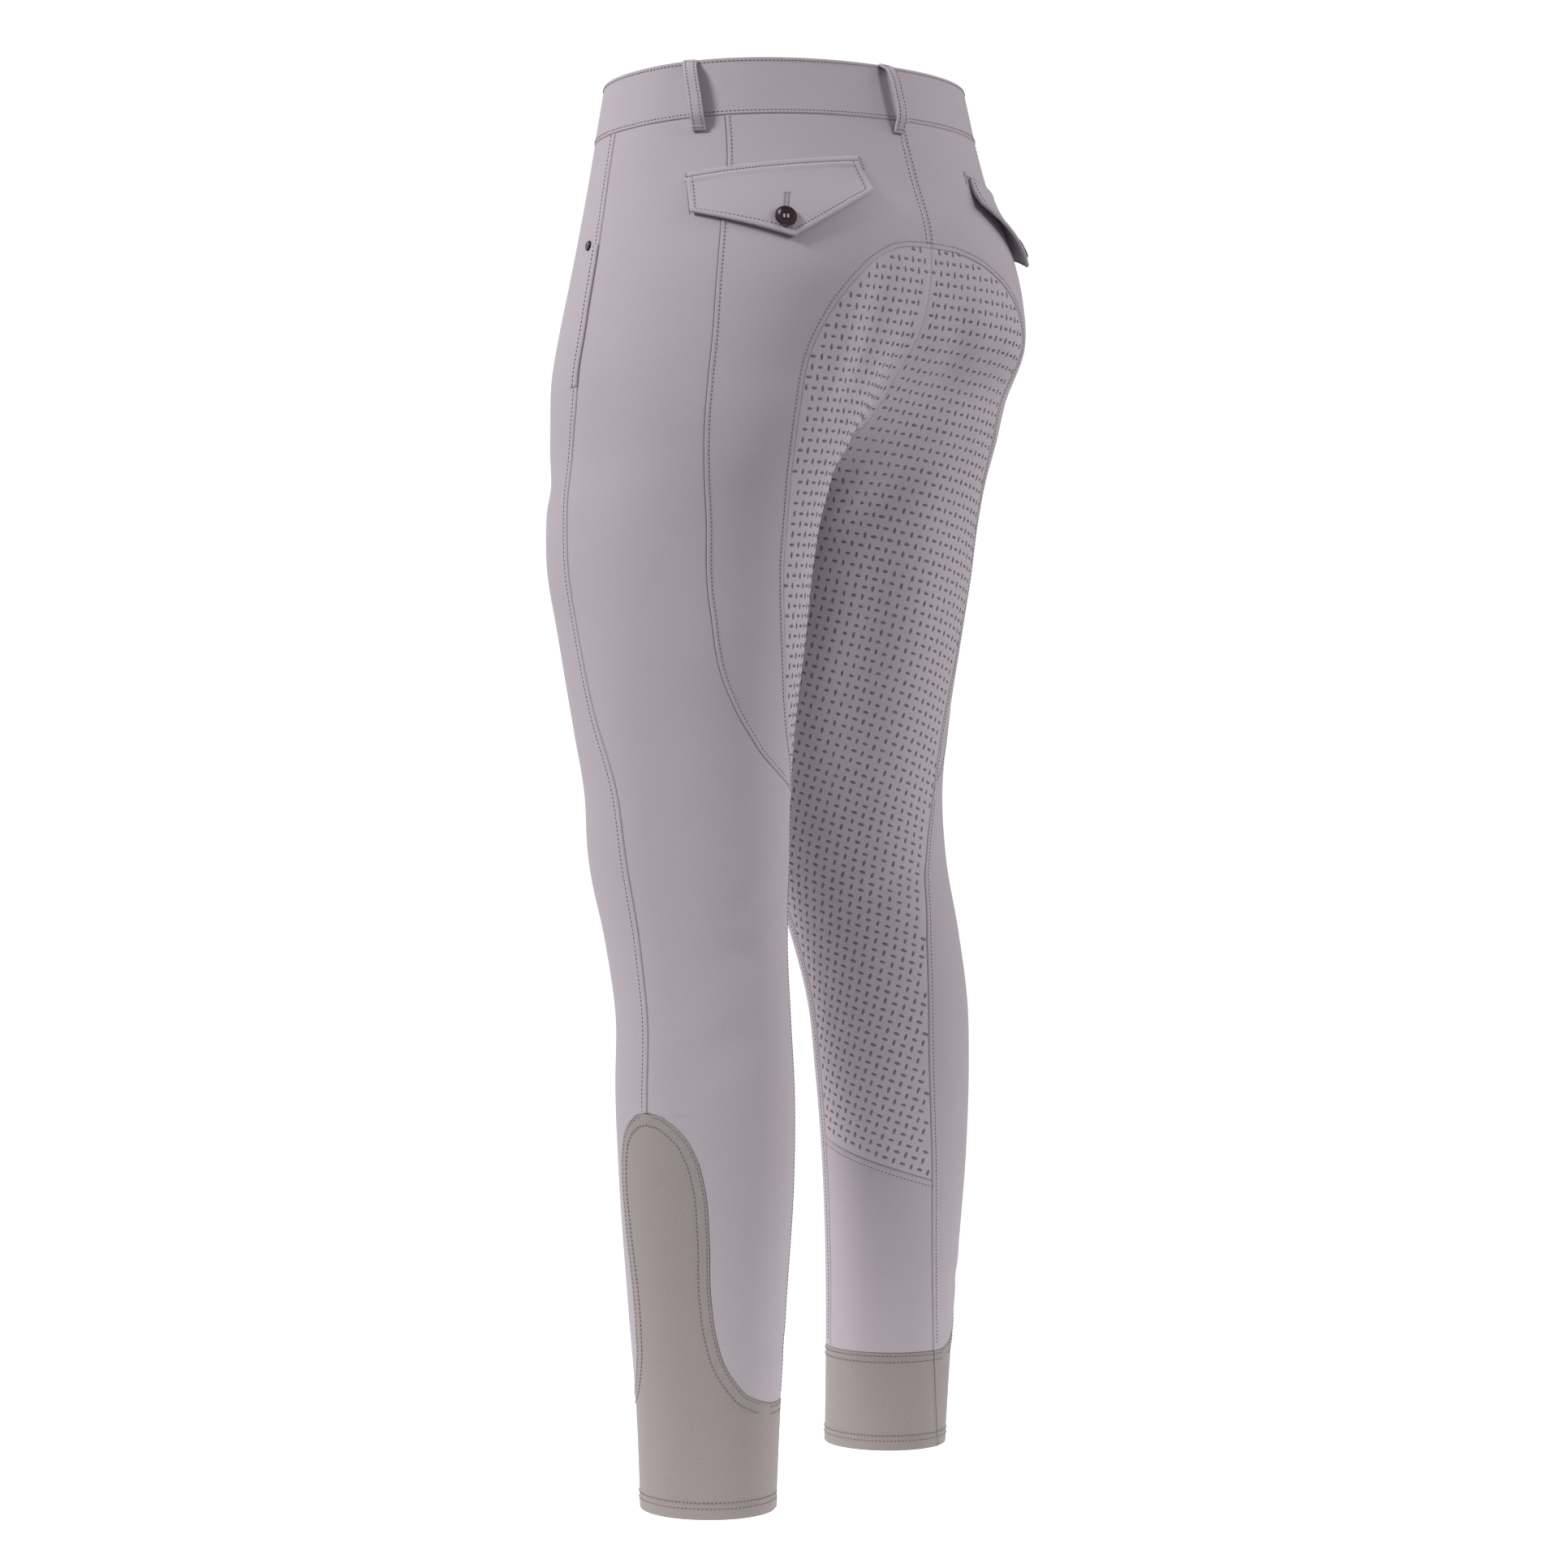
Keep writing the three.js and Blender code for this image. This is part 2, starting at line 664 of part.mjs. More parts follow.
// A turned disc with a rim, its flat back a given height above the cloth
function addDisc(name, finish, spot, height, { radius, height: tall }) {
  const profile = [
    new THREE.Vector2(0, 0),
    new THREE.Vector2(radius * 0.8, 0),
    new THREE.Vector2(radius, tall * 0.45),
    new THREE.Vector2(radius * 0.9, tall),
    new THREE.Vector2(radius * 0.72, tall * 0.8),
    new THREE.Vector2(0, tall * 0.8),
  ];
  const mesh = new THREE.Mesh(new THREE.LatheGeometry(profile, discSides), finishes[finish]);
  mesh.name = name;
  mesh.position.copy(raised(spot, height));
  mesh.quaternion.setFromUnitVectors(new THREE.Vector3(0, 1, 0), spot.normal);
  garment.add(mesh);
}

function addBeltLoop({ name, half, angles, x }) {
  const spotAt = (level) => {
    if (x !== undefined) return atDistance(x, level, "back");
    const share = (loopTop - level) / (loopTop - loopBottom);
    return onCloth(half, THREE.MathUtils.lerp(...angles, share), level);
  };
  const rise = [
    { share: 0, height: 0 },
    { share: 0.07, height: 0.1 },
    { share: 0.2, height: 0.95 },
    { share: 0.35, height: 1 },
    { share: 0.65, height: 1 },
    { share: 0.8, height: 0.95 },
    { share: 0.93, height: 0.1 },
    { share: 1, height: 0 },
  ];
  const middle = rise.map(({ share }) => spotAt(THREE.MathUtils.lerp(loopTop, loopBottom, share)));
  const { normal } = spotAt((bandTop + bandBottom) / 2);
  const across = new THREE.Vector3(-normal.y, normal.x, 0).normalize().multiplyScalar(sideOf[half]);
  const rows = rise.map(({ height }, i) => [-0.5, 0.5].map((side) => {
    const lift = layClearance + loopThickness + loopStandOff * height;
    return { point: raised(middle[i], lift).addScaledVector(across, side * loopWidth), normal };
  }));
  addWall(name, "cloth", rows.flat(), mirrored(half, netCells(rows.length, 2)), loopThickness);
}

function addSidePocket(half) {
  const { top, bottom, width, back } = pocketFacing;
  const levels = [0, 0.25, 0.5, 0.75, 1].map((t) => THREE.MathUtils.lerp(top, bottom, t));
  const rows = levels.map((z) => {
    const edge = sideSeam(z)[half];
    const degrees = THREE.MathUtils.radToDeg(width / sections[half](z).outer);
    return [edge - back - degrees, edge - back].map((angle) => ({ angle, z, height: layClearance }));
  });
  addLaid(`side_pocket_${half}`, "cloth", half, rows, clothThickness);

  const spot = onCloth(half, sideSeam(rivet.z)[half] + rivet.fromSeam, rivet.z);
  addDisc(`rivet_${half}`, "rivet", spot, rivet.seat, rivet);
}

function blend(from, to, share) {
  const point = from.point.clone().lerp(to.point, share);
  return { point, normal: from.normal.clone().lerp(to.normal, share).normalize() };
}

// The fly lies on the first facets beside the front middle, its corner rounded off
// towards the foot, and laps a little over the right front.
function addFly() {
  const { bottom, past, roundFrom, footShare, footRise } = fly;
  const firstColumn = (half, level) => {
    const inner = frontInner(half, level);
    const angle = THREE.MathUtils.lerp(inner, frontOuter(half, level), 1 / facetsAcross.front);
    return { middle: onCloth(half, inner, level), outer: onCloth(half, angle, level) };
  };
  const levels = [bandBottom - seamTrim, ...hipLevels.filter((z) => z < bandBottom && z >= bottom)];
  const rows = levels.map((level) => {
    const { middle, outer } = firstColumn("left", level);
    const overRight = blend(middle, firstColumn("right", level).outer, past);
    const rounding = THREE.MathUtils.clamp((roundFrom - level) / (roundFrom - bottom), 0, 1) ** 2;
    const edge = blend(middle, outer, THREE.MathUtils.lerp(1, footShare, rounding));
    return [overRight, middle, blend(middle, edge, 0.5), edge].map((spot) => {
      return { ...spot, point: raised(spot, layClearance + footRise * rounding + clothThickness) };
    });
  });
  addWall("fly", "cloth", rows.flat(), netCells(rows.length, rows[0].length), clothThickness);
  const spot = atDistance(waistButton.x, waistButton.z, "front");
  addDisc("waist_button", "button", spot, layClearance, waistButton);
}

addWaistband();
for (const half of ["left", "right"]) {
  addLegPanels(half);
  addSeatAndCalf(half);
  addCuff(half);
  addBackPocket(half);
  addSidePocket(half);
}
addFly();
beltLoops.forEach(addBeltLoop);

export default garment;
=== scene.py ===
import json
import math

import bpy
import numpy as np
from mathutils import Matrix, Vector, kdtree

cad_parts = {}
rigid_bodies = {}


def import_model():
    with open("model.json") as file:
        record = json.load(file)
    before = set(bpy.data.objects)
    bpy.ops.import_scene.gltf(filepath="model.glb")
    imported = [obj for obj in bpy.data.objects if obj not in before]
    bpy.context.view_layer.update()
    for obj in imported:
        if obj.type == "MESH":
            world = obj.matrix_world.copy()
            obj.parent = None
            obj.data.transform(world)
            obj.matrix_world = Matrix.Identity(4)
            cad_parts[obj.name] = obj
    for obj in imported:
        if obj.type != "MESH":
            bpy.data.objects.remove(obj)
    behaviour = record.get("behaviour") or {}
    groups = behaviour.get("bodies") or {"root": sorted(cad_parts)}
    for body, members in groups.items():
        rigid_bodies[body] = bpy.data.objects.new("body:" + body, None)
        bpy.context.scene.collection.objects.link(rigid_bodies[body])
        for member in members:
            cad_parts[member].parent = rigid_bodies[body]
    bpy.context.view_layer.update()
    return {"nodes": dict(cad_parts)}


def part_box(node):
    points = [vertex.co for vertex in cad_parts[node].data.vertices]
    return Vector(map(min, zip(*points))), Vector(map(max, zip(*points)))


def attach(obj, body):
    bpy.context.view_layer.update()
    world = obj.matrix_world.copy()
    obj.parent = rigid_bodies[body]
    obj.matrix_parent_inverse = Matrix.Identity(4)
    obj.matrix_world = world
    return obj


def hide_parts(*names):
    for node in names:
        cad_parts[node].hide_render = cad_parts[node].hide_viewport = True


for leftover in list(bpy.data.objects):  # the start-up file's cube, lamp and camera
    bpy.data.objects.remove(leftover)

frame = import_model()
print("frame loaded")

mm = 0.001


# The camera, the floor and the lights

cameraSetup = {
    "bearing": 46,  # degrees from straight behind towards the wearer's left
    "distance": 2600,  # mm from the waist's axis
    "height": -486,
    "aside": 4.2,  # mm to the left of the axis, square to the view
    "lens": 81.52,  # mm
    "sensor": 36,  # mm
    "clip": (0.05, 60),  # m
}


def addCamera(setup):
    bearing = math.radians(setup["bearing"])
    away = Vector((math.sin(bearing), math.cos(bearing), 0))
    right = Vector((-math.cos(bearing), math.sin(bearing), 0))
    data = bpy.data.cameras.new("camera")
    data.lens = setup["lens"]
    data.sensor_width = setup["sensor"]
    data.clip_start, data.clip_end = setup["clip"]
    camera = bpy.data.objects.new("camera", data)
    place = (away * setup["distance"] - right * setup["aside"]) * mm
    place.z = setup["height"] * mm
    camera.matrix_world = Matrix.LocRotScale(place, (-away).to_track_quat("-Z", "Y"), None)
    bpy.context.scene.collection.objects.link(camera)
    bpy.context.scene.camera = camera
    return away, right


toCamera, toRight = addCamera(cameraSetup)

studio = {
    "floorDrop": 60,  # mm below the hems
    "floorReach": 1.3,  # m, where the floor has faded into the white round it
    "floorSolid": 0.2,  # m, up to where it hasn't begun to fade
    "floorSides": 64,
    "paper": "#f4f4f5",
    "paperGlow": 0.45,
    "backdrop": 1.05,  # the white that is seen round the floor
    "skyStrength": 0.22,  # the light that comes from it
    "lightsFace": -0.45,  # m, the height that the lights point at
}
lights = [  # metres: along the view, to the right, up; then size and watts
    {"name": "key", "back": 1.65, "right": -2.3, "up": 1.6, "size": 0.9, "watts": 86},
    {"name": "side", "back": -1.0, "right": -2.5, "up": 0.8, "size": 1.8, "watts": 22},
    {"name": "fill", "back": 1.3, "right": 2.5, "up": 1.0, "size": 1.4, "watts": 34},
    {"name": "rim", "back": -0.9, "right": 2.4, "up": 0.9, "size": 1.8, "watts": 26},
    {"name": "far", "back": -2.2, "right": -0.6, "up": 0.8, "size": 2.4, "watts": 16},
]


def addLight(row):
    data = bpy.data.lights.new(row["name"], "AREA")
    data.shape = "DISK"
    data.size = row["size"]
    data.energy = row["watts"]
    light = bpy.data.objects.new(row["name"], data)
    place = toCamera * row["back"] + toRight * row["right"] + Vector((0, 0, row["up"]))
    aim = Vector((0, 0, studio["lightsFace"]))
    light.matrix_world = Matrix.LocRotScale(place, (aim - place).to_track_quat("-Z", "Y"), None)
    bpy.context.scene.collection.objects.link(light)


for row in lights:
    addLight(row)


# Materials

def linear(hexColour):
    channels = [int(hexColour[i:i + 2], 16) / 255 for i in (1, 3, 5)]
    return [c / 12.92 if c <= 0.04045 else ((c + 0.055) / 1.055) ** 2.4 for c in channels] + [1]


def setInputs(tree, node, **inputs):
    # a socket goes by its name, with _ for a space, or by its number after a _
    for name, value in inputs.items():
        key = int(name[1:]) if name[0] == "_" else name.replace("_", " ")
        socket = node.inputs[key]
        if isinstance(value, bpy.types.NodeSocket):
            tree.links.new(value, socket)
        else:
            socket.default_value = value


def addNode(tree, kind, settings=None, **inputs):
    node = tree.nodes.new(kind)
    for name, value in (settings or {}).items():
        setattr(node, name, value)
    setInputs(tree, node, **inputs)
    return node


def newMaterial(name):
    material = bpy.data.materials.new(name)
    material.use_nodes = True
    return material, material.node_tree, material.node_tree.nodes["Principled BSDF"]


def clothMaterial(name, colour, weave):
    # Stretch twill of polyamide and elastane: matt, dense and even, so the eye gets a soft
    # sheen at the edges and a faint diagonal grain rather than separate threads.
    material, tree, shader = newMaterial(name)
    setInputs(tree, shader, Roughness=0.86, Sheen_Weight=0.22, Sheen_Roughness=0.45, Specular_IOR_Level=0.28)
    uv = addNode(tree, "ShaderNodeUVMap", {"uv_map": "cloth"}).outputs["UV"]
    place = addNode(tree, "ShaderNodeTexCoord").outputs["Object"]
    threads = 1 / (weave["pitch"] * mm)
    across = addNode(tree, "ShaderNodeTexWave", {"bands_direction": "DIAGONAL"},
                     Vector=uv, Scale=threads / 40, Distortion=1.5, Detail=1.0)
    grain = addNode(tree, "ShaderNodeTexNoise", Vector=uv, Scale=threads * 0.8, Detail=2.0, Roughness=0.6)
    patches = addNode(tree, "ShaderNodeTexNoise", Vector=place, Scale=9.0, Detail=3.0, Roughness=0.55)
    tone = addNode(tree, "ShaderNodeMix", {"data_type": "RGBA"}, Factor=patches.outputs["Fac"],
                   _6=linear(colour[0]), _7=linear(colour[1]))
    speck = addNode(tree, "ShaderNodeMapRange", Value=grain.outputs["Fac"], From_Min=0.3, From_Max=0.7,
                    To_Min=1 - weave["speck"], To_Max=1 + weave["speck"])
    mixed = addNode(tree, "ShaderNodeVectorMath", {"operation": "SCALE"},
                    _0=tone.outputs[2], Scale=speck.outputs[0])
    height = addNode(tree, "ShaderNodeMath", {"operation": "MULTIPLY_ADD"},
                     _0=across.outputs["Fac"], _1=weave["twill"], _2=grain.outputs["Fac"])
    bump = addNode(tree, "ShaderNodeBump", Height=height.outputs[0], Strength=weave["bump"],
                   Distance=weave["depth"] * mm)
    setInputs(tree, shader, Base_Color=mixed.outputs[0], Normal=bump.outputs[0])
    return material


def plainMaterial(name, colour, scale, bump, **shine):
    # scale: the grain's; bump: how much of its 0.2 mm shows
    material, tree, shader = newMaterial(name)
    place = addNode(tree, "ShaderNodeTexCoord").outputs["Object"]
    mottle = addNode(tree, "ShaderNodeTexNoise", Vector=place, Scale=scale, Detail=3.0)
    tone = addNode(tree, "ShaderNodeMix", {"data_type": "RGBA"}, Factor=mottle.outputs["Fac"],
                   _6=linear(colour[0]), _7=linear(colour[1]))
    relief = addNode(tree, "ShaderNodeBump", Height=mottle.outputs["Fac"], Strength=bump, Distance=0.2 * mm)
    setInputs(tree, shader, Base_Color=tone.outputs[2], Normal=relief.outputs[0], **shine)
    return material


finishes = {
    "twill": clothMaterial(
        "stretchTwill", ("#b3a9b1", "#aca2aa"),
        {"pitch": 0.9, "twill": 0.5, "speck": 0.05, "bump": 0.35, "depth": 0.12},
    ),
    # The seat panel's cloth: the same twill as the other panels, colour made a shade lighter; that extra
    # lightness is painted light on the seat
    "seatTwillPaintedLight": clothMaterial(
        "seatTwillPaintedLight", ("#b8aeb5", "#b0a7ae"),
        {"pitch": 0.9, "twill": 0.5, "speck": 0.05, "bump": 0.35, "depth": 0.12},
    ),
    "knit": clothMaterial(
        "elasticKnit", ("#9a918f", "#928a87"),
        {"pitch": 1.1, "twill": 0.2, "speck": 0.07, "bump": 0.5, "depth": 0.15},
    ),
    # Printed silicone rubber: cured in raised drops, smooth, so each one takes a soft highlight.
    "silicone": plainMaterial("printedSilicone", ("#7a6e77", "#6f636c"), 300, 0.1, Roughness=0.34, IOR=1.41),
    # Spun polyester sewing thread, a shade darker than the cloth, with a slight lustre.
    "thread": plainMaterial("sewingThread", ("#5d545b", "#4d454c"), 1500, 0.3, Roughness=0.6,
                            Sheen_Weight=0.3),
    "paleThread": plainMaterial("buttonThread", ("#b9b5b8", "#a5a1a4"), 1500, 0.3, Roughness=0.55),
    # Cast polyester button, polished: nearly black plum with a clear gloss.
    "button": plainMaterial("castPolyester", ("#2c1b23", "#35222b"), 90, 0.02, Roughness=0.2, IOR=1.56),
    # Lacquered brass rivet, near black, satin.
    "rivet": plainMaterial("lacqueredRivet", ("#1d1b1e", "#262327"), 400, 0.05, Roughness=0.35,
                           Metallic=0.6),
}


def addStudio(setup):
    low = min(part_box(name)[0][2] for name in frame["nodes"])
    z = low - setup["floorDrop"] * mm
    reach, sides = setup["floorReach"], setup["floorSides"]
    mesh = bpy.data.meshes.new("floor")
    turns = [2 * math.pi * i / sides for i in range(sides)]
    ring = [(reach * math.cos(turn), reach * math.sin(turn), z) for turn in turns]
    mesh.from_pydata(ring, [], [list(range(sides))])
    floor = bpy.data.objects.new("floor", mesh)
    bpy.context.scene.collection.objects.link(floor)
    material, tree, shader = newMaterial("paper")
    place = addNode(tree, "ShaderNodeTexCoord").outputs["Object"]
    flat = addNode(tree, "ShaderNodeVectorMath", {"operation": "MULTIPLY"}, _0=place, _1=(1, 1, 0))
    out = addNode(tree, "ShaderNodeVectorMath", {"operation": "LENGTH"}, _0=flat.outputs[0])
    fade = addNode(tree, "ShaderNodeMapRange", {"interpolation_type": "SMOOTHSTEP"}, _0=out.outputs["Value"],
                   _1=setup["floorSolid"], _2=reach * 0.95, _3=1.0, _4=0.0)
    setInputs(tree, shader, Base_Color=linear(setup["paper"]), Roughness=0.9, Alpha=fade.outputs[0],
              Emission_Color=(1, 1, 1, 1), Emission_Strength=setup["paperGlow"])
    mesh.materials.append(material)
    world = bpy.data.worlds.new("sky")
    bpy.context.scene.world = world
    world.use_nodes = True
    tree = world.node_tree
    tree.nodes.clear()
    seen = addNode(tree, "ShaderNodeBackground", Color=(1, 1, 1, 1), Strength=setup["backdrop"])
    light = addNode(tree, "ShaderNodeBackground", Color=(1, 0.99, 0.985, 1), Strength=setup["skyStrength"])
    ray = addNode(tree, "ShaderNodeLightPath")
    mix = addNode(tree, "ShaderNodeMixShader", _0=ray.outputs["Is Camera Ray"], _1=light.outputs[0],
                  _2=seen.outputs[0])
    addNode(tree, "ShaderNodeOutputWorld", Surface=mix.outputs[0])
    bpy.context.scene.view_settings.view_transform = "Standard"


addStudio(studio)
print("camera, light and materials ready")


# The garment's form, in millimetres and degrees

form = {
    "bandTop": 21,
    "bandBottom": -20,
    "seatTop": -111,
    "crotch": -256,
    "panelTip": -490,
    "tongueTop": -713,
    "seatFootBack": -782,
    "seatFootFront": -752,
    "footFrom": -640,  # from here down the seat panel's rows tilt towards its foot
    "cuffTop": -913,
    "hem": -988,
    "lean": 0.05,  # the waist dips to the front
    "leanAside": 0.9,  # and to the wearer's left, by this share of it
    "leanEnd": -200,
    "blendReach": 28,  # the halves share one depth this near to the middle
    "blendFrom": -280,
    "blendTo": -400,
}
sideOf = {"left": 1, "right": -1}
otherHalf = {"left": "right", "right": "left"}

# z, x, y: height and centre; outer: reach outwards; gap: inner side from the middle;
# front, back: depths; soft: rounding beside the middle; power: 2 is an ellipse
sectionNames = ("x", "y", "outer", "gap", "front", "back", "soft", "power")
hipRows = [
    (21, 0, 0, 156, -200, 100, 100, 30, 2.2),
    (-20, 0, 0, 162, -200, 108, 112, 30, 2.2),
    (-60, 12, 0, 157, -200, 110, 124, 30, 2.2),
    (-95, 30, 2, 146, -180, 113, 134, 30, 2.2),
    (-130, 48, 4, 134, -130, 117, 134, 28, 2.2),
    (-165, 64, 3, 122, -80, 120, 128, 26, 2.2),
]
legRows = {
    "left": [
        (-200, 77, 0, 112, -38, 118, 122, 22, 2.2),
        (-230, 85, -1, 103, -6, 115, 118, 18, 2.2),
        (-256, 89, -3, 97, 14, 111, 113, 14, 2.2),
        (-292, 92, -9, 94, 20, 107, 106, 8, 2.2),
        (-328, 95, -13, 90, 20, 102, 102, 4, 2.2),
        (-380, 99, -10, 83, 22, 94, 94, 0, 2.1),
        (-450, 104, -3, 76, 30, 81, 80, 0, 2.05),
        (-490, 107, 3, 72, 37, 75, 74, 0, 2.05),
        (-540, 110, 7, 69, 42, 74, 73, 0, 2),
        (-600, 113, 18, 63, 51, 66, 65, 0, 2),
        (-650, 116, 27, 60, 56, 63, 63, 0, 2),
        (-700, 119, 32, 61, 59, 65, 65, 0, 2),
        (-760, 123, 37, 60, 63, 62, 63, 0, 2),
        (-850, 128, 43, 54, 74, 56, 56, 0, 2),
        (-920, 131, 47, 49, 82, 51, 51, 0, 2),
        (-988, 135, 51, 46, 89, 48, 48, 0, 2),
    ],
    "right": [
        (-200, 77, -4, 112, -38, 112, 106, 22, 2.2),
        (-230, 85, -10, 103, -6, 108, 99, 18, 2.2),
        (-256, 89, -16, 97, 14, 103, 94, 14, 2.2),
        (-292, 92, -24, 94, 20, 98, 91, 8, 2.2),
        (-328, 95, -29, 90, 20, 94, 89, 4, 2.2),
        (-380, 99, -32, 83, 22, 86, 82, 0, 2.1),
        (-450, 104, -40, 76, 30, 78, 75, 0, 2.05),
        (-490, 107, -43, 72, 37, 75, 73, 0, 2.05),
        (-540, 110, -37, 68, 42, 71, 70, 0, 2),
        (-600, 113, -19, 62, 51, 66, 65, 0, 2),
        (-650, 116, -9, 60, 57, 62, 61, 0, 2),
        (-700, 119, -7, 57, 62, 60, 59, 0, 2),
        (-760, 123, -9, 54, 69, 56, 56, 0, 2),
        (-850, 128, -16, 49, 79, 51, 51, 0, 2),
        (-920, 132, -23, 47, 85, 48, 48, 0, 2),
        (-988, 136, -30, 45, 91, 47, 47, 0, 2),
    ],
}

# Seams: height, then the angle round the section on the left half and on the right one.
# 0 is the outer side, 90 the back, 180 the inner side and -90 the front.
seamRows = {
    "side": [
        (21, -6, -6), (-20, -6, -6), (-100, -8, -9), (-150, -11, -13), (-207, -14, -20), (-260, -20, -28),
        (-323, -18, -32), (-380, -16, -30), (-431, -10, -25), (-480, 0, -16), (-533, 6, -8), (-640, 6, -4),
        (-713, 4, -6),
    ],
    "backSide": [
        (-20, 26, 26), (-60, 30, 29), (-100, 33, 31), (-145, 37, 32), (-190, 42, 31), (-260, 47, 25),
        (-310, 53, 22), (-365, 57, 27), (-421, 66, 38), (-449, 78, 47), (-471, 94, 57), (-482, 109, 64),
        (-490, 126, 71),
    ],
    "seat": [
        (-111, 96, 96), (-112, 91, 90), (-114, 87.5, 86), (-118, 84.5, 80.5), (-124, 81.5, 75),
        (-134, 78.5, 68), (-152, 75.5, 62), (-175, 74, 59), (-226, 77, 59), (-259, 80, 57), (-303, 86, 53),
        (-336, 89, 54), (-392, 96, 60), (-448, 110, 67), (-490, 129, 73), (-534, 134, 86), (-580, 134, 97),
        (-657, 129, 108), (-779, 129, 106), (-872, 130, 98), (-936, 131, 89), (-988, 132, 80),
    ],
    "inseam": [
        (-256, -180, -180), (-260, -178, -178), (-270, -174, -175), (-292, -167, -170), (-325, -160, -165),
        (-365, -152, -160), (-450, -142, -156), (-540, -136, -154), (-650, -132, -153), (-988, -129, -155),
    ],
}
# The cuff's tongue: height, front and back edge on the left leg, then on the right one
tongueRows = [
    (-713, 4, 4, -6, -6), (-714, -2, 11, -12, 1), (-718, -10, 20, -20, 9), (-726, -19, 30, -29, 18),
    (-739, -25, 38, -35, 26), (-760, -28, 44, -38, 31), (-795, -26, 47, -36, 34), (-837, -22, 48, -33, 35),
    (-865, -22, 52, -33, 38), (-885, -25, 59, -36, 44), (-898, -31, 69, -41, 53), (-906, -39, 79, -48, 62),
    (-911, -54, 94, -62, 74), (-913, -62, 104, -70, 80),
]


def throughRows(rows):
    # a smooth curve through the rows: give heights, get the rows' other columns
    table = np.array(sorted(rows), float)
    z, value = table[:, 0], table[:, 1:]
    gap = np.diff(z)
    slope = np.diff(value, axis=0) / gap[:, None]
    tangent = np.empty_like(value)
    tangent[0], tangent[-1] = slope[0], slope[-1]
    both = slope[:-1] * gap[1:, None] + slope[1:] * gap[:-1, None]
    tangent[1:-1] = both / (gap[:-1] + gap[1:])[:, None]

    def at(height):
        height = np.asarray(height, float)
        i = np.clip(np.searchsorted(z, height) - 1, 0, len(gap) - 1)
        h = gap[i][..., None]
        t = (height - z[i])[..., None] / h
        return ((1 + 2 * t) * (1 - t) ** 2 * value[i] + t * (1 - t) ** 2 * h * tangent[i]
                + t * t * (3 - 2 * t) * value[i + 1] + t * t * (t - 1) * h * tangent[i + 1])

    return at


sectionCurves = {half: throughRows(hipRows + legRows[half]) for half in sideOf}
seamCurves = {name: throughRows(rows) for name, rows in seamRows.items()}
tongueCurve = throughRows(tongueRows)


def sectionAt(half, z):
    values = np.moveaxis(sectionCurves[half](z), -1, 0)
    return dict(zip(sectionNames, values))


def sharedSection(half, z, x):
    own, other = sectionAt(half, z), sectionAt(otherHalf[half], z)
    fade = np.clip((z - form["blendTo"]) / (form["blendFrom"] - form["blendTo"]), 0, 1)
    share = 0.5 * fade * np.exp(-((x / form["blendReach"]) ** 2))
    for name in ("y", "front", "back"):
        own[name] = own[name] + (other[name] - own[name]) * share
    return own


def leanAt(level):
    t = np.clip((level - form["leanEnd"]) / (form["bandBottom"] - form["leanEnd"]), 0, 1)
    return form["lean"] * t * t * (3 - 2 * t)


def clothPoints(half, angle, level):
    angle, level = np.broadcast_arrays(np.asarray(angle, float), np.asarray(level, float))
    cos, sin = np.cos(np.radians(angle)), np.sin(np.radians(angle))
    z = level
    for _ in range(4):
        s = sectionAt(half, z)
        width = np.where(cos < 0, s["x"] - s["gap"], s["outer"])
        depth = np.where(sin < 0, s["front"], s["back"])
        power = s["power"]
        radius = (np.abs(cos / width) ** power + np.abs(sin / depth) ** power) ** (-1 / power)
        reach = s["x"] + radius * cos
        share = radius * sin / depth
        x = np.sqrt(np.maximum(reach ** 2 - s["soft"] ** 2, 0))
        shared = sharedSection(half, z, x)
        y = shared["y"] + share * np.where(share < 0, shared["front"], shared["back"])
        z = level + leanAt(level) * (y - form["leanAside"] * x * sideOf[half])
    return np.stack([x * sideOf[half], y, z], -1)


def fullness(half, p):
    s = sharedSection(half, p[..., 2], np.abs(p[..., 0]))
    reach = np.hypot(p[..., 0], s["soft"]) - s["x"]
    width = np.where(reach < 0, s["x"] - s["gap"], s["outer"])
    depth = np.where(p[..., 1] < s["y"], s["front"], s["back"])
    return np.abs(reach / width) ** s["power"] + np.abs((p[..., 1] - s["y"]) / depth) ** s["power"]


def slopes(half, p):
    step = 0.1
    parts = []
    for axis in np.eye(3):
        parts.append((fullness(half, p + axis * step) - fullness(half, p - axis * step)) / (2 * step))
    return np.stack(parts, -1)


def unit(v):
    return v / np.maximum(np.linalg.norm(v, axis=-1, keepdims=True), 1e-9)


def clothNormals(half, p):
    return unit(slopes(half, p))


def ontoCloth(half, p):
    for _ in range(3):
        g = slopes(half, p)
        p = p - g * ((fullness(half, p) - 1) / np.maximum((g ** 2).sum(-1), 1e-12))[..., None]
    return p


def middleAngle(half, level, face):
    # where the section meets the middle plane, or 180 on a whole ring
    sign = 1 if face == "back" else -1
    level = np.asarray(level, float)
    z = level
    for _ in range(4):
        s = sectionAt(half, z)
        width = np.where(s["x"] < s["soft"], s["outer"], s["x"] - s["gap"])
        room = 1 - np.abs((s["x"] - s["soft"]) / width) ** s["power"]
        across = s[face] * np.maximum(room, 0) ** (1 / s["power"])
        whole = (level <= form["crotch"]) | (room <= 0)
        angle = np.where(whole, 180, np.degrees(np.arctan2(across, s["soft"] - s["x"])))
        z = level + leanAt(level) * (s["y"] + sign * across)
    return sign * angle


def seamAngle(name, half, level):
    return seamCurves[name](level)[..., 0 if half == "left" else 1]


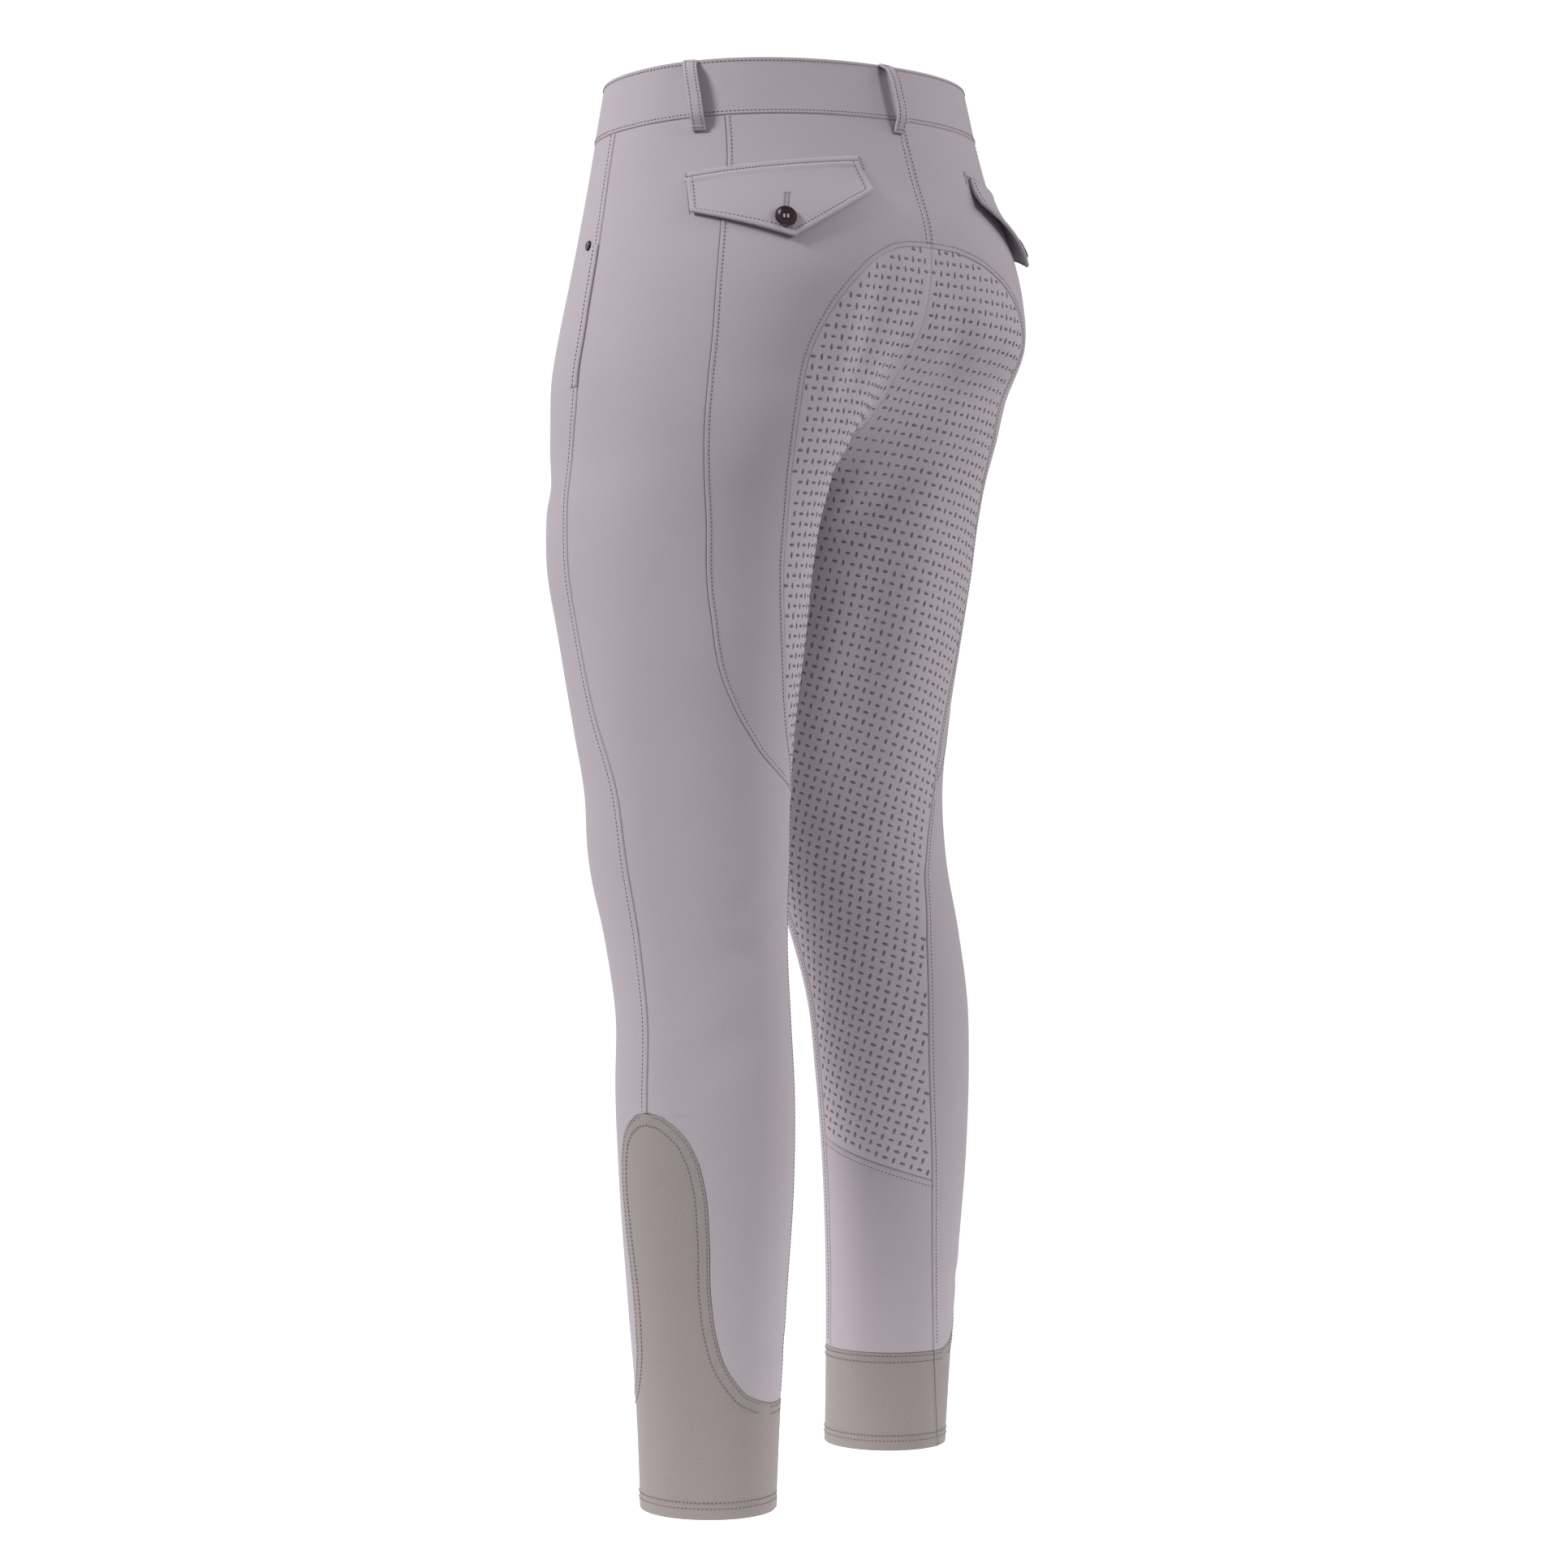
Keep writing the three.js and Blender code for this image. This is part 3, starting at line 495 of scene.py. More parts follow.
def edgeAngle(name, half, level):
    # the seams joined end to end, as the panels need them
    level = np.asarray(level, float)
    tongue = tongueCurve(level)[..., 0 if half == "left" else 2:][..., :2]
    backMiddle = middleAngle(half, level, "back")
    side = seamAngle("side", half, level)
    inseam = seamAngle("inseam", half, level)
    seat = seamAngle("seat", half, level)
    joined = level > form["crotch"]
    seat = np.where(joined, np.minimum(seat, backMiddle), seat)
    return {
        "frontInner": lambda: np.where(joined, middleAngle(half, level, "front"), inseam),
        "frontOuter": lambda: np.where(level > form["tongueTop"], side, tongue[..., 0]),
        "sideFront": lambda: np.where(level > form["tongueTop"], side, tongue[..., 1]),
        "sideBack": lambda: np.where(level > form["panelTip"], seamAngle("backSide", half, level), seat),
        "backInner": lambda: np.where(level > form["seatTop"], backMiddle, seat),
        "seatOuter": lambda: seat,
        "seatInner": lambda: np.where(joined, backMiddle, inseam + 360),
        "tongueFront": lambda: tongue[..., 0],
        "tongueBack": lambda: tongue[..., 1],
    }[name]()


# Soft folds. half, angle, z: the middle; tilt: degrees from level; length, width and depth
folds = [
    {"half": "left", "angle": 92, "z": -166, "tilt": 84, "length": 44, "width": 13, "depth": 2.2},
    {"half": "left", "angle": 96, "z": -205, "tilt": 62, "length": 30, "width": 11, "depth": 1.8},
    {"half": "right", "angle": 98, "z": -178, "tilt": -70, "length": 36, "width": 14, "depth": 1.8},
    {"half": "left", "angle": 118, "z": -262, "tilt": 20, "length": 34, "width": 10, "depth": 1.3},
    {"half": "right", "angle": 128, "z": -282, "tilt": 38, "length": 46, "width": 13, "depth": 1.9},
    {"half": "right", "angle": 128, "z": -375, "tilt": 84, "length": 135, "width": 24, "depth": 5.6},
    {"half": "right", "angle": 150, "z": -345, "tilt": 66, "length": 56, "width": 15, "depth": 1.8},
    {"half": "right", "angle": 112, "z": -560, "tilt": 18, "length": 34, "width": 11, "depth": 1.3},
    {"half": "right", "angle": 128, "z": -592, "tilt": -14, "length": 30, "width": 10, "depth": 1.2},
    {"half": "left", "angle": 96, "z": -566, "tilt": 15, "length": 32, "width": 12, "depth": 1.2},
    {"half": "left", "angle": 80, "z": -604, "tilt": -10, "length": 28, "width": 11, "depth": 1.0},
    {"half": "left", "angle": 60, "z": -668, "tilt": 30, "length": 40, "width": 15, "depth": 0.9},
    {"half": "left", "angle": -60, "z": -262, "tilt": -28, "length": 46, "width": 12, "depth": 1.8},
    {"half": "right", "angle": -70, "z": -268, "tilt": 24, "length": 44, "width": 13, "depth": 1.9},
    {"half": "left", "angle": -108, "z": -236, "tilt": -48, "length": 36, "width": 10, "depth": 1.6},
    {"half": "right", "angle": -112, "z": -230, "tilt": 52, "length": 34, "width": 10, "depth": 1.5},
    {"half": "left", "angle": -84, "z": -548, "tilt": 12, "length": 30, "width": 11, "depth": 1.1},
    {"half": "right", "angle": -92, "z": -520, "tilt": -10, "length": 30, "width": 11, "depth": 1.1},
    {"half": "right", "angle": 60, "z": -860, "tilt": 8, "length": 24, "width": 9, "depth": 0.7},
    {"half": "left", "angle": 100, "z": -868, "tilt": -12, "length": 26, "width": 9, "depth": 0.8},
]
# A fold is a bent trough with a ridge above it and a lower one below; "through" keeps
# it off the far side of a leg.
foldShape = {"bend": 0.25, "above": (0.55, 1.5), "below": (0.3, 1.6), "through": 34}


def prepareFold(fold):
    middle = clothPoints(fold["half"], fold["angle"], fold["z"])
    normal = clothNormals(fold["half"], middle)
    level = unit(np.cross([0, 0, 1], normal))
    up = np.cross(normal, level)
    tilt = math.radians(fold["tilt"])
    along = level * math.cos(tilt) + up * math.sin(tilt)
    return {**fold, "middle": middle, "normal": normal, "along": along, "over": np.cross(normal, along)}


readyFolds = [prepareFold(fold) for fold in folds]


def foldHeight(half, p):
    # how far the folds lift or sink the cloth
    high, highAt = foldShape["above"]
    low, lowAt = foldShape["below"]
    total = np.zeros(p.shape[:-1])
    for fold in readyFolds:
        if fold["half"] != half:
            continue
        off = p - fold["middle"]
        u = (off @ fold["along"]) / fold["length"]
        v = (off @ fold["over"]) / fold["width"] + foldShape["bend"] * u * u
        w = (off @ fold["normal"]) / foldShape["through"]
        shape = -np.exp(-v * v) + high * np.exp(-((v - highAt) ** 2)) + low * np.exp(-((v + lowAt) ** 2))
        total += fold["depth"] * shape * np.exp(-u * u - w * w)
    return total


# Shells: an outer net of points becomes cloth with a thickness

def newPiece(name, vertices, faces, material, uv=None):
    mesh = bpy.data.meshes.new(name)
    mesh.from_pydata((np.asarray(vertices) * mm).tolist(), [], faces)
    mesh.materials.append(finishes[material])
    if uv is not None:
        layer = mesh.uv_layers.new(name="cloth")
        corners = np.empty(len(mesh.loops), np.int32)
        mesh.loops.foreach_get("vertex_index", corners)
        layer.data.foreach_set("uv", (np.asarray(uv)[corners] * mm).ravel())
    mesh.polygons.foreach_set("use_smooth", [True] * len(mesh.polygons))
    mesh.validate()
    piece = bpy.data.objects.new(name, mesh)
    bpy.context.scene.collection.objects.link(piece)
    return piece


def shell(name, outer, normals, thickness, material, uv, flip=False, lift=None):
    # cloth from a net of rows: its outer face, an inner one and a rim
    rows, columns = outer.shape[:2]
    count = rows * columns
    inner = outer - normals * thickness
    index = np.arange(count).reshape(rows, columns)
    a, b = index[:-1, :-1].ravel(), index[1:, :-1].ravel()
    c, d = index[1:, 1:].ravel(), index[:-1, 1:].ravel()
    front = np.stack([a, b, c, d], 1)
    ring = np.concatenate([index[:, 0], index[-1, 1:], index[-2::-1, -1], index[0, -2:0:-1]])
    after = np.roll(ring, -1)
    rim = np.stack([ring, ring + count, after + count, after], 1)
    faces = np.concatenate([front, front[:, ::-1] + count, rim])
    if flip:
        faces = faces[:, ::-1]
    vertices = np.concatenate([outer.reshape(-1, 3), inner.reshape(-1, 3)])
    piece = newPiece(name, vertices, faces.tolist(), material, np.concatenate([uv.reshape(-1, 2)] * 2))
    if lift is not None:
        facing = tilted(outer, normals, lift).reshape(-1, 3)
        piece.data.normals_split_custom_set_from_vertices(np.concatenate([facing, -facing]).tolist())
    return piece


def tilted(points, normals, lift):
    # the normals of a net whose points were lifted by different amounts
    u, v = np.gradient(points, axis=1), np.gradient(points, axis=0)
    u = u - normals * (u * normals).sum(-1, keepdims=True)
    v = v - normals * (v * normals).sum(-1, keepdims=True)
    riseU, riseV = np.gradient(lift, axis=1), np.gradient(lift, axis=0)
    uu, uv, vv = (u * u).sum(-1), (u * v).sum(-1), (v * v).sum(-1)
    room = np.maximum(uu * vv - uv * uv, 1e-6) + 0.01 * uu * vv
    a = (riseU * vv - riseV * uv) / room
    b = (riseV * uu - riseU * uv) / room
    slope = a[..., None] * u + b[..., None] * v
    steep = np.linalg.norm(slope, axis=-1, keepdims=True)
    return unit(normals - slope * np.minimum(1, 2 / np.maximum(steep, 1e-6)))


def resample(points, step=2.0):
    run = np.concatenate([[0], np.linalg.norm(np.diff(points[:, :3], axis=0), axis=-1).cumsum()])
    at = np.linspace(0, run[-1], max(int(run[-1] / step), 2))
    return np.stack([np.interp(at, run, points[:, i]) for i in range(points.shape[1])], -1)


def runAlong(points):
    # how far every point of a net is along its row
    steps = np.linalg.norm(np.diff(points, axis=1), axis=-1).cumsum(1)
    return np.concatenate([np.zeros((len(points), 1)), steps], 1)


trims = {}  # small pieces that go with a cut, by the cut's name


def declare(piece, node, goesWith=None):
    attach(piece, "root")
    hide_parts(node)
    if goesWith:
        trims.setdefault(goesWith, []).append(piece)


# How the cloth runs into a seam. turn: the edge turned in; welt: the allowance's rise,
# from the edge to the stitches; groove: how far the stitches pull the cloth in.
edgeKinds = {
    "flush": {"turn": 0.4, "reach": 0.9, "welt": 0.0, "stitch": 0.0, "groove": 0.0},
    "low": {"turn": 0.9, "reach": 1.0, "welt": -0.1, "stitch": 0.0, "groove": 0.0},
    "rolled": {"turn": 0.6, "reach": 0.6, "welt": 0.5, "stitch": 3.0, "groove": 0.18},
    "seatEdge": {"turn": 0.9, "reach": 0.7, "welt": 0.4, "stitch": 3.5, "groove": 0.18},
    "stitched": {"turn": 1.1, "reach": 0.9, "welt": 0.4, "stitch": 4.8, "groove": 0.2},
    "tongue": {"turn": 0.8, "reach": 0.7, "welt": 0.35, "stitch": 8.0, "groove": 0.2},
    "near": {"turn": 0.9, "reach": 0.8, "welt": 0.25, "stitch": 2.4, "groove": 0.2},
    "hem": {"turn": 0.5, "reach": 1.0, "welt": 0.3, "stitch": 9.5, "groove": 0.2},
    "open": {"turn": 0.0, "reach": 1.0, "welt": 0.0, "stitch": 0.0, "groove": 0.0},
}
edgeSteps = np.array([0, 0.35, 0.8, 1.4, 2.2, 3.2, 4.0, 4.6, 5.2, 6.2, 7.4, 8.4, 9.5, 11.5])
# The welt ends a little past the stitches, over this slope; without stitches it fades out.
weltEnd = {"past": 1.6, "slope": 3, "fade": 6, "grooveWidth": 0.7}


def edgeHeight(kind, distance, level=None):
    # kind is a name, or (above, below, height) where the edge changes at a height
    if not isinstance(kind, str):
        above, below, change = kind
        return np.where(level > change, edgeHeight(above, distance), edgeHeight(below, distance))
    k = edgeKinds[kind]
    drop = -k["turn"] * np.clip(1 - distance / k["reach"], 0, 1) ** 2
    if not k["stitch"]:
        return drop + k["welt"] * np.clip(1 - distance / weltEnd["fade"], 0, 1)
    welt = k["welt"] * np.clip((k["stitch"] + weltEnd["past"] - distance) / weltEnd["slope"], 0, 1)
    groove = -k["groove"] * np.exp(-(((distance - k["stitch"]) / weltEnd["grooveWidth"]) ** 2))
    return drop + welt + groove


def averaged(values, levels, reach):
    # a running mean of the rows, over about this many millimetres of height
    near = np.exp(-(((levels[:, None] - levels[None, :]) / reach) ** 2))
    weight = near * np.abs(np.gradient(levels))[None, :]
    return (weight / weight.sum(1)[:, None]) @ values


netSetup = {
    "samples": 81,  # across a panel, to measure it
    "inward": 6,  # samples from an edge, to see how it slants
    "leastSlant": 0.25,
    "slantReach": 3.5,  # mm of height that slants are averaged over
    "edgeShare": 0.48,  # of the width that the close-set columns may take
    "steadyReach": 16,  # mm of height that the columns inside are averaged over
    "steadyFade": 0.3,  # share of the width over which that comes in
    "steadyRoom": 0.35,  # least share of a column's width that it leaves
    "middle": 1.5,  # mm from the middle plane that counts as on it
    "deepest": -1.7,  # mm that an edge may sink
}


def layNet(half, levels, fromEdge, toEdge, across, levelAt=None):
    # angles and heights of a panel's net, close-set beside its edges
    levels = np.asarray(levels, float)
    fine = np.linspace(0, 1, netSetup["samples"])
    start, end = fromEdge(levels), toEdge(levels)
    angle = start[:, None] + (end - start)[:, None] * fine
    height = np.broadcast_to(levels[:, None], angle.shape)
    if levelAt is not None:
        height = levelAt(height, fine[None, :])
    points = clothPoints(half, angle, height)
    run = runAlong(points)
    width = run[:, -1]
    slants = []
    for column, inner in ((0, netSetup["inward"]), (-1, -1 - netSetup["inward"])):
        edge = points[:, column]
        along = unit(np.gradient(edge, axis=0))
        inward = unit(points[:, inner] - edge)
        slant = np.clip(np.linalg.norm(np.cross(along, inward), axis=-1), netSetup["leastSlant"], 1)
        slants.append(averaged(slant, levels, netSetup["slantReach"]))
    reach = edgeSteps[-1]
    scale = np.minimum(1, netSetup["edgeShare"] * width / (reach / np.minimum(*slants)))
    first = edgeSteps[None, :] / slants[0][:, None] * scale[:, None]
    last = width[:, None] - (edgeSteps[::-1][None, :] / slants[1][:, None]) * scale[:, None]
    share = np.linspace(0, 1, across + 1)[1:-1]
    middle = first[:, -1:] + (last[:, :1] - first[:, -1:]) * share
    at = np.concatenate([first, middle, last], 1)
    netShare = np.stack([np.interp(a, r, fine) for a, r in zip(at, run)])
    netAngle = start[:, None] + (end - start)[:, None] * netShare
    netAngle = steadyColumns(netAngle, levels, len(edgeSteps))
    netShare = np.clip((netAngle - start[:, None]) / np.maximum(end - start, 0.001)[:, None], 0, 1)
    at = np.stack([np.interp(a, fine, r) for a, r in zip(netShare, run)])
    netLevel = np.broadcast_to(levels[:, None], netAngle.shape)
    if levelAt is not None:
        netLevel = levelAt(netLevel, netShare)
    outerSide = clothPoints(half, start[:, None] * np.linspace(0, 1, 61), levels[:, None])
    before = np.linalg.norm(np.diff(outerSide, axis=1), axis=-1).sum(1) * np.sign(start)
    return netAngle, netLevel, at + before[:, None]  # the last is the run from angle 0


def edgeDistance(net, edge, levels):
    # the distance of every point of a net from an edge, and the edge's height there
    line = resample(np.column_stack([edge, levels]), 0.25)
    tree = kdtree.KDTree(len(line))
    for i, point in enumerate(line[:, :3].tolist()):
        tree.insert(point, i)
    tree.balance()
    found = [tree.find(point)[1:] for point in net.reshape(-1, 3).tolist()]
    index = np.array([i for i, _ in found])
    distance = np.array([d for _, d in found])
    return distance.reshape(net.shape[:2]), line[index, 3].reshape(net.shape[:2])


def steadyColumns(angle, levels, beside):
    # keeps the columns inside a panel from following every jog of its edges
    inside = angle[:, beside:-beside]
    if inside.shape[1] < 3:
        return angle
    steady = averaged(inside, levels, netSetup["steadyReach"])
    share = np.linspace(0, 1, inside.shape[1] + 2)[1:-1]
    pull = np.clip(np.minimum(share, 1 - share) / netSetup["steadyFade"], 0, 1)
    pull = pull * pull * (3 - 2 * pull)
    room = np.diff(angle[:, beside - 1:angle.shape[1] - beside + 1], axis=1)
    eased = angle.copy()
    for row in range(len(angle)):
        for amount in (1, 0.8, 0.6, 0.4, 0.25, 0.12, 0.05, 0):
            eased[row, beside:-beside] = inside[row] + (steady[row] - inside[row]) * pull * amount
            gaps = np.diff(eased[row, beside - 1:angle.shape[1] - beside + 1])
            if (gaps >= netSetup["steadyRoom"] * room[row]).all():
                break
    return eased


def levelsBetween(top, bottom, step=5.0, dense=()):
    # heights from top to bottom, closing up towards the ends and the dense ones
    stops = sorted({top, bottom, *[z for z in dense if bottom < z < top]}, reverse=True)
    found = [top]
    near = np.cumsum([0.35, 0.45, 0.6, 0.8, 1.0, 0.8, 0.6, 0.6, 1.0, 1.2, 1.0, 1.1, 2.0])
    for high, low in zip(stops[:-1], stops[1:]):
        room = high - low
        close = near[near < room * 0.45]
        middle = []
        if len(close):
            count = max(int((room - 2 * close[-1]) / step), 1)
            middle = list(high - close[-1] - (room - 2 * close[-1]) * np.arange(1, count) / count)
        found += list(high - close) + middle + list(low + close[::-1]) + [low]
    return np.array(found)


def addPanel(name, half, node, levels, edges, kinds, look, across, levelAt=None, topShare=None):
    # kinds: the edges at the start, the end, the top and the bottom of the panel
    fromEdge, toEdge = edges
    angle, level, offset = layNet(half, levels, fromEdge, toEdge, across, levelAt)
    base = clothPoints(half, angle, level)
    for column in (0, -1):  # panels of the two halves meet on the middle plane
        joined = (np.abs(base[:, column, 0]) < netSetup["middle"]) & (level[:, column] > form["crotch"])
        base[joined, column, 0] = 0
    normals = clothNormals(half, base)
    lift = edgeHeight(kinds[2], np.abs(level[:1] - level))
    if topShare is not None:
        lift = lift * topShare(angle)
    lift = lift + edgeHeight(kinds[3], np.abs(level - level[-1:]))
    for kind, column in ((kinds[0], 0), (kinds[1], -1)):
        distance, height = edgeDistance(base, base[:, column], level[:, column])
        distance[:, column] = 0
        lift += edgeHeight(kind, distance, height)
    lift = np.maximum(lift, netSetup["deepest"]) + foldHeight(half, base)
    outer = base + normals * lift[..., None]
    uv = np.stack([offset, level], -1)
    piece = shell(f"{name}_{half}", outer, normals, look["thickness"], look["material"], uv,
                  half == "right", lift)
    declare(piece, f"{node}_{half}")


twill = {"thickness": 1.3, "material": "twill", "slot": "cloth"}
grip = {"thickness": 1.5, "material": "seatTwillPaintedLight", "slot": "seat_cloth"}
elastic = {"thickness": 1.2, "material": "knit", "slot": "cuff_knit"}
band = {"thickness": 2.2, "material": "twill", "slot": "cloth", "columns": 91,
        "topCurve": 4, "deepest": -1.5, "lift": 0.25}
columns = {"front": 34, "side": 24, "back": 20, "seat": 34, "calf": 24, "tongue": 20, "ring": 90}

# rows close up where the two halves meet, so that the fork between the legs stays round
crotchCount = np.arange(-13, 14)
crotchSteps = form["crotch"] + 0.15 * crotchCount * np.abs(crotchCount)


def withCrotch(levels):
    return np.unique(np.concatenate([levels, crotchSteps]))[::-1]


def addLegPanels(half):
    def edge(name):
        return lambda z: edgeAngle(name, half, z)

    def backSide(z):
        return seamAngle("backSide", half, z)

    tip, low = form["panelTip"], form["cuffTop"]
    footBack, footFront = form["seatFootBack"], form["seatFootFront"]
    levels = levelsBetween(form["bandBottom"], low, 5, (form["tongueTop"], tip))
    inner = ("flush", "stitched", form["crotch"])
    addPanel("frontPanel", half, "front", withCrotch(levels), (edge("frontInner"), edge("frontOuter")),
             (inner, "stitched", "low", "low"), twill, columns["front"])
    addPanel("sidePanel", half, "side", levels, (edge("sideFront"), edge("sideBack")),
             ("low", ("low", "seatEdge", tip), "low", "low"), twill, columns["side"])

    levels = levelsBetween(form["bandBottom"], tip + 0.3, 4, (form["seatTop"], form["seatTop"] - 12))
    inner = ("flush", "seatEdge", form["seatTop"])
    addPanel("backPanel", half, "back", levels, (backSide, edge("backInner")),
             ("rolled", inner, "low", "open"), twill, columns["back"])

    # the seat panel's foot climbs to the front, and the calf panel's top with it
    def footLevel(level, share):
        down = (form["footFrom"] - level) / (form["footFrom"] - footBack)
        return level + (footFront - footBack) * share * np.clip(down, 0, 1)

    def calfLevel(level, share):
        return level + (footFront - footBack) * share * np.clip((level - low) / (footBack - low), 0, 1)

    top = form["seatTop"] - 0.25
    levels = withCrotch(levelsBetween(top, footBack, 5, (top - 12,)))
    seatEdges = (edge("seatOuter"), edge("seatInner"))
    addPanel("seatPanel", half, "seat", levels, seatEdges,
             ("low", ("flush", "low", form["crotch"]), "open", "low"), grip, columns["seat"],
             footLevel)
    addPanel("calfPanel", half, "calf", levelsBetween(footBack, low, 5), seatEdges,
             ("low", "low", "stitched", "low"), twill, columns["calf"], calfLevel)


def addCuff(half):
    # one cut of stretch cloth, made as its tongue and its ring
    def front(z):
        return edgeAngle("tongueFront", half, z)

    def back(z):
        return edgeAngle("tongueBack", half, z)

    def seam(z):
        return seamAngle("seat", half, z)

    def besideTongue(angle):
        # nothing is turned in where the ring and the tongue are one cloth
        first = float(front(form["cuffTop"]))
        span = (float(back(form["cuffTop"])) - first) % 360
        into = (angle - first) % 360
        depth = np.where(into < span, np.minimum(into, span - into), 0)
        return 1 - np.clip(depth / 4, 0, 1)

    top, low = form["tongueTop"], form["cuffTop"]
    addPanel("cuffTongue", half, "cuff", levelsBetween(top - 0.3, low, 4, (top - 12,)), (front, back),
             ("tongue", "tongue", "open", "open"), elastic, columns["tongue"])
    addPanel("cuffRing", half, "cuff", levelsBetween(low, form["hem"], 3.5), (lambda z: seam(z) - 360, seam),
             ("near", "near", "near", "hem"), elastic, columns["ring"],
             topShare=besideTongue)


def addWaistband():
    levels = levelsBetween(form["bandTop"], form["bandBottom"], 3.5)
    nets = []
    for half in ("left", "right"):
        start = middleAngle(half, levels, "front")
        end = middleAngle(half, levels, "back")
        angle = start[:, None] + (end - start)[:, None] * np.linspace(0, 1, band["columns"])
        level = np.broadcast_to(levels[:, None], angle.shape)
        base = clothPoints(half, angle, level)
        lift = (edgeHeight("hem", np.abs(level - form["bandTop"]) * band["topCurve"])
                + edgeHeight("near", np.abs(level - form["bandBottom"])))
        nets.append([base, clothNormals(half, base), lift])
    base, normals, lift = [np.concatenate([a, b[:, ::-1][:, 1:]], 1) for a, b in zip(*nets)]
    run = runAlong(base)
    uv = np.stack([run, np.broadcast_to(levels[:, None], run.shape)], -1)
    lift = np.maximum(lift, band["deepest"]) + band["lift"]
    piece = shell("waistbandCloth", base + normals * lift[..., None], normals, band["thickness"],
                  band["material"], uv, lift=lift)
    declare(piece, "waistband")


addWaistband()
for half in sideOf:
    addLegPanels(half)
    addCuff(half)
print("panels done")


# Stitches: a Geometry Nodes tree sets one small stitch every pitch of a path

stitching = {"pitch": 2.9, "length": 2.0, "radius": 0.31, "turn": 0.0}
stitchWobble = {"Seed": 7, "_2": -0.09, "_3": 0.09}  # the least and the most, in radians


def newTree(name, sizes, material):
    tree = bpy.data.node_groups.new(name, "GeometryNodeTree")
    tree.interface.new_socket(name="Places", in_out="INPUT", socket_type="NodeSocketGeometry")
    for label, value in sizes.items():
        socket = tree.interface.new_socket(name=label, in_out="INPUT", socket_type="NodeSocketFloat")
        socket.default_value = value
    tree.interface.new_socket(name=material, in_out="INPUT", socket_type="NodeSocketMaterial")
    tree.interface.new_socket(name="Copies", in_out="OUTPUT", socket_type="NodeSocketGeometry")
    return tree, tree.nodes.new("NodeGroupInput").outputs


def facing(tree, along):
    # a rotation with Z out of the cloth and X along the given direction
    outward = addNode(tree, "GeometryNodeInputNamedAttribute", {"data_type": "FLOAT_VECTOR"}, Name="outward")
    up = addNode(tree, "FunctionNodeAlignRotationToVector", {"axis": "Z"}, Vector=outward.outputs[0])
    aimed = addNode(tree, "FunctionNodeAlignRotationToVector", {"axis": "X", "pivot_axis": "Z"},
                    Rotation=up.outputs[0], Vector=along)
    return aimed.outputs[0]


def finishTree(tree, copies, material):
    real = addNode(tree, "GeometryNodeRealizeInstances", Geometry=copies.outputs[0])
    smooth = addNode(tree, "GeometryNodeSetShadeSmooth", Geometry=real.outputs[0])
    coated = addNode(tree, "GeometryNodeSetMaterial", Geometry=smooth.outputs[0], Material=material)
    addNode(tree, "NodeGroupOutput", Copies=coated.outputs[0])
    return tree


def buildStitchTree():
    sizes = {name.capitalize(): stitching[name] * mm for name in ("pitch", "length", "radius")}
    tree, given = newTree("stitchRow", {**sizes, "Turn": 0.0}, "Thread")
    curve = addNode(tree, "GeometryNodeMeshToCurve", Mesh=given["Places"])
    spaced = addNode(tree, "GeometryNodeResampleCurve", {"mode": "LENGTH"},
                     Curve=curve.outputs[0], Length=given["Pitch"])
    ball = addNode(tree, "GeometryNodeMeshUVSphere", Segments=6, Rings=4, Radius=0.5)
    thick = addNode(tree, "ShaderNodeMath", {"operation": "MULTIPLY"}, _0=given["Radius"], _1=2.0)
    size = addNode(tree, "ShaderNodeCombineXYZ", X=given["Length"], Y=thick.outputs[0], Z=thick.outputs[0])
    stitch = addNode(tree, "GeometryNodeTransform", Geometry=ball.outputs["Mesh"], Scale=size.outputs[0])
    aimed = facing(tree, addNode(tree, "GeometryNodeInputTangent").outputs[0])
    wobble = addNode(tree, "FunctionNodeRandomValue", {"data_type": "FLOAT"}, **stitchWobble)
    turn = addNode(tree, "ShaderNodeMath", {"operation": "ADD"}, _0=wobble.outputs[1], _1=given["Turn"])
    spin = addNode(tree, "ShaderNodeCombineXYZ", Z=turn.outputs[0])
    turned = addNode(tree, "FunctionNodeRotateRotation", {"rotation_space": "LOCAL"}, Rotation=aimed,
                     Rotate_By=spin.outputs[0])
    copies = addNode(tree, "GeometryNodeInstanceOnPoints", Points=spaced.outputs[0],
                     Instance=stitch.outputs[0], Rotation=turned.outputs[0])
    return finishTree(tree, copies, given["Thread"])


stitchTree = buildStitchTree()


def runNodes(name, tree, points, edges, attributes, inputs):
    # runs a tree on points and edges and keeps the result as a plain mesh
    mesh = bpy.data.meshes.new(name)
    mesh.from_pydata((np.asarray(points) * mm).tolist(), edges, [])
    for key, values in attributes.items():
        layer = mesh.attributes.new(key, "FLOAT_VECTOR", "POINT")
        layer.data.foreach_set("vector", np.asarray(values, float).ravel())
    holder = bpy.data.objects.new(name, mesh)
    bpy.context.scene.collection.objects.link(holder)
    modifier = holder.modifiers.new("nodes", "NODES")
    modifier.node_group = tree
    items = [item for item in tree.interface.items_tree if item.item_type == "SOCKET"]
    sockets = {item.name: item.identifier for item in items}
    for key, value in inputs.items():
        modifier[sockets[key]] = value
    bpy.context.view_layer.update()
    seen = holder.evaluated_get(bpy.context.evaluated_depsgraph_get())
    result = bpy.data.meshes.new_from_object(seen)
    holder.modifiers.clear()
    holder.data = result
    bpy.data.meshes.remove(mesh)
    result.name = name
    return holder


stitchPaths = {}  # (group, pitch, length, radius, turn) to a list of (points, normals)


def addStitches(group, points, normals, **changes):
    style = {**stitching, **changes}
    raised = points + normals * (style["radius"] * 0.45)
    stitchPaths.setdefault((group, *style.values()), []).append((raised, normals))


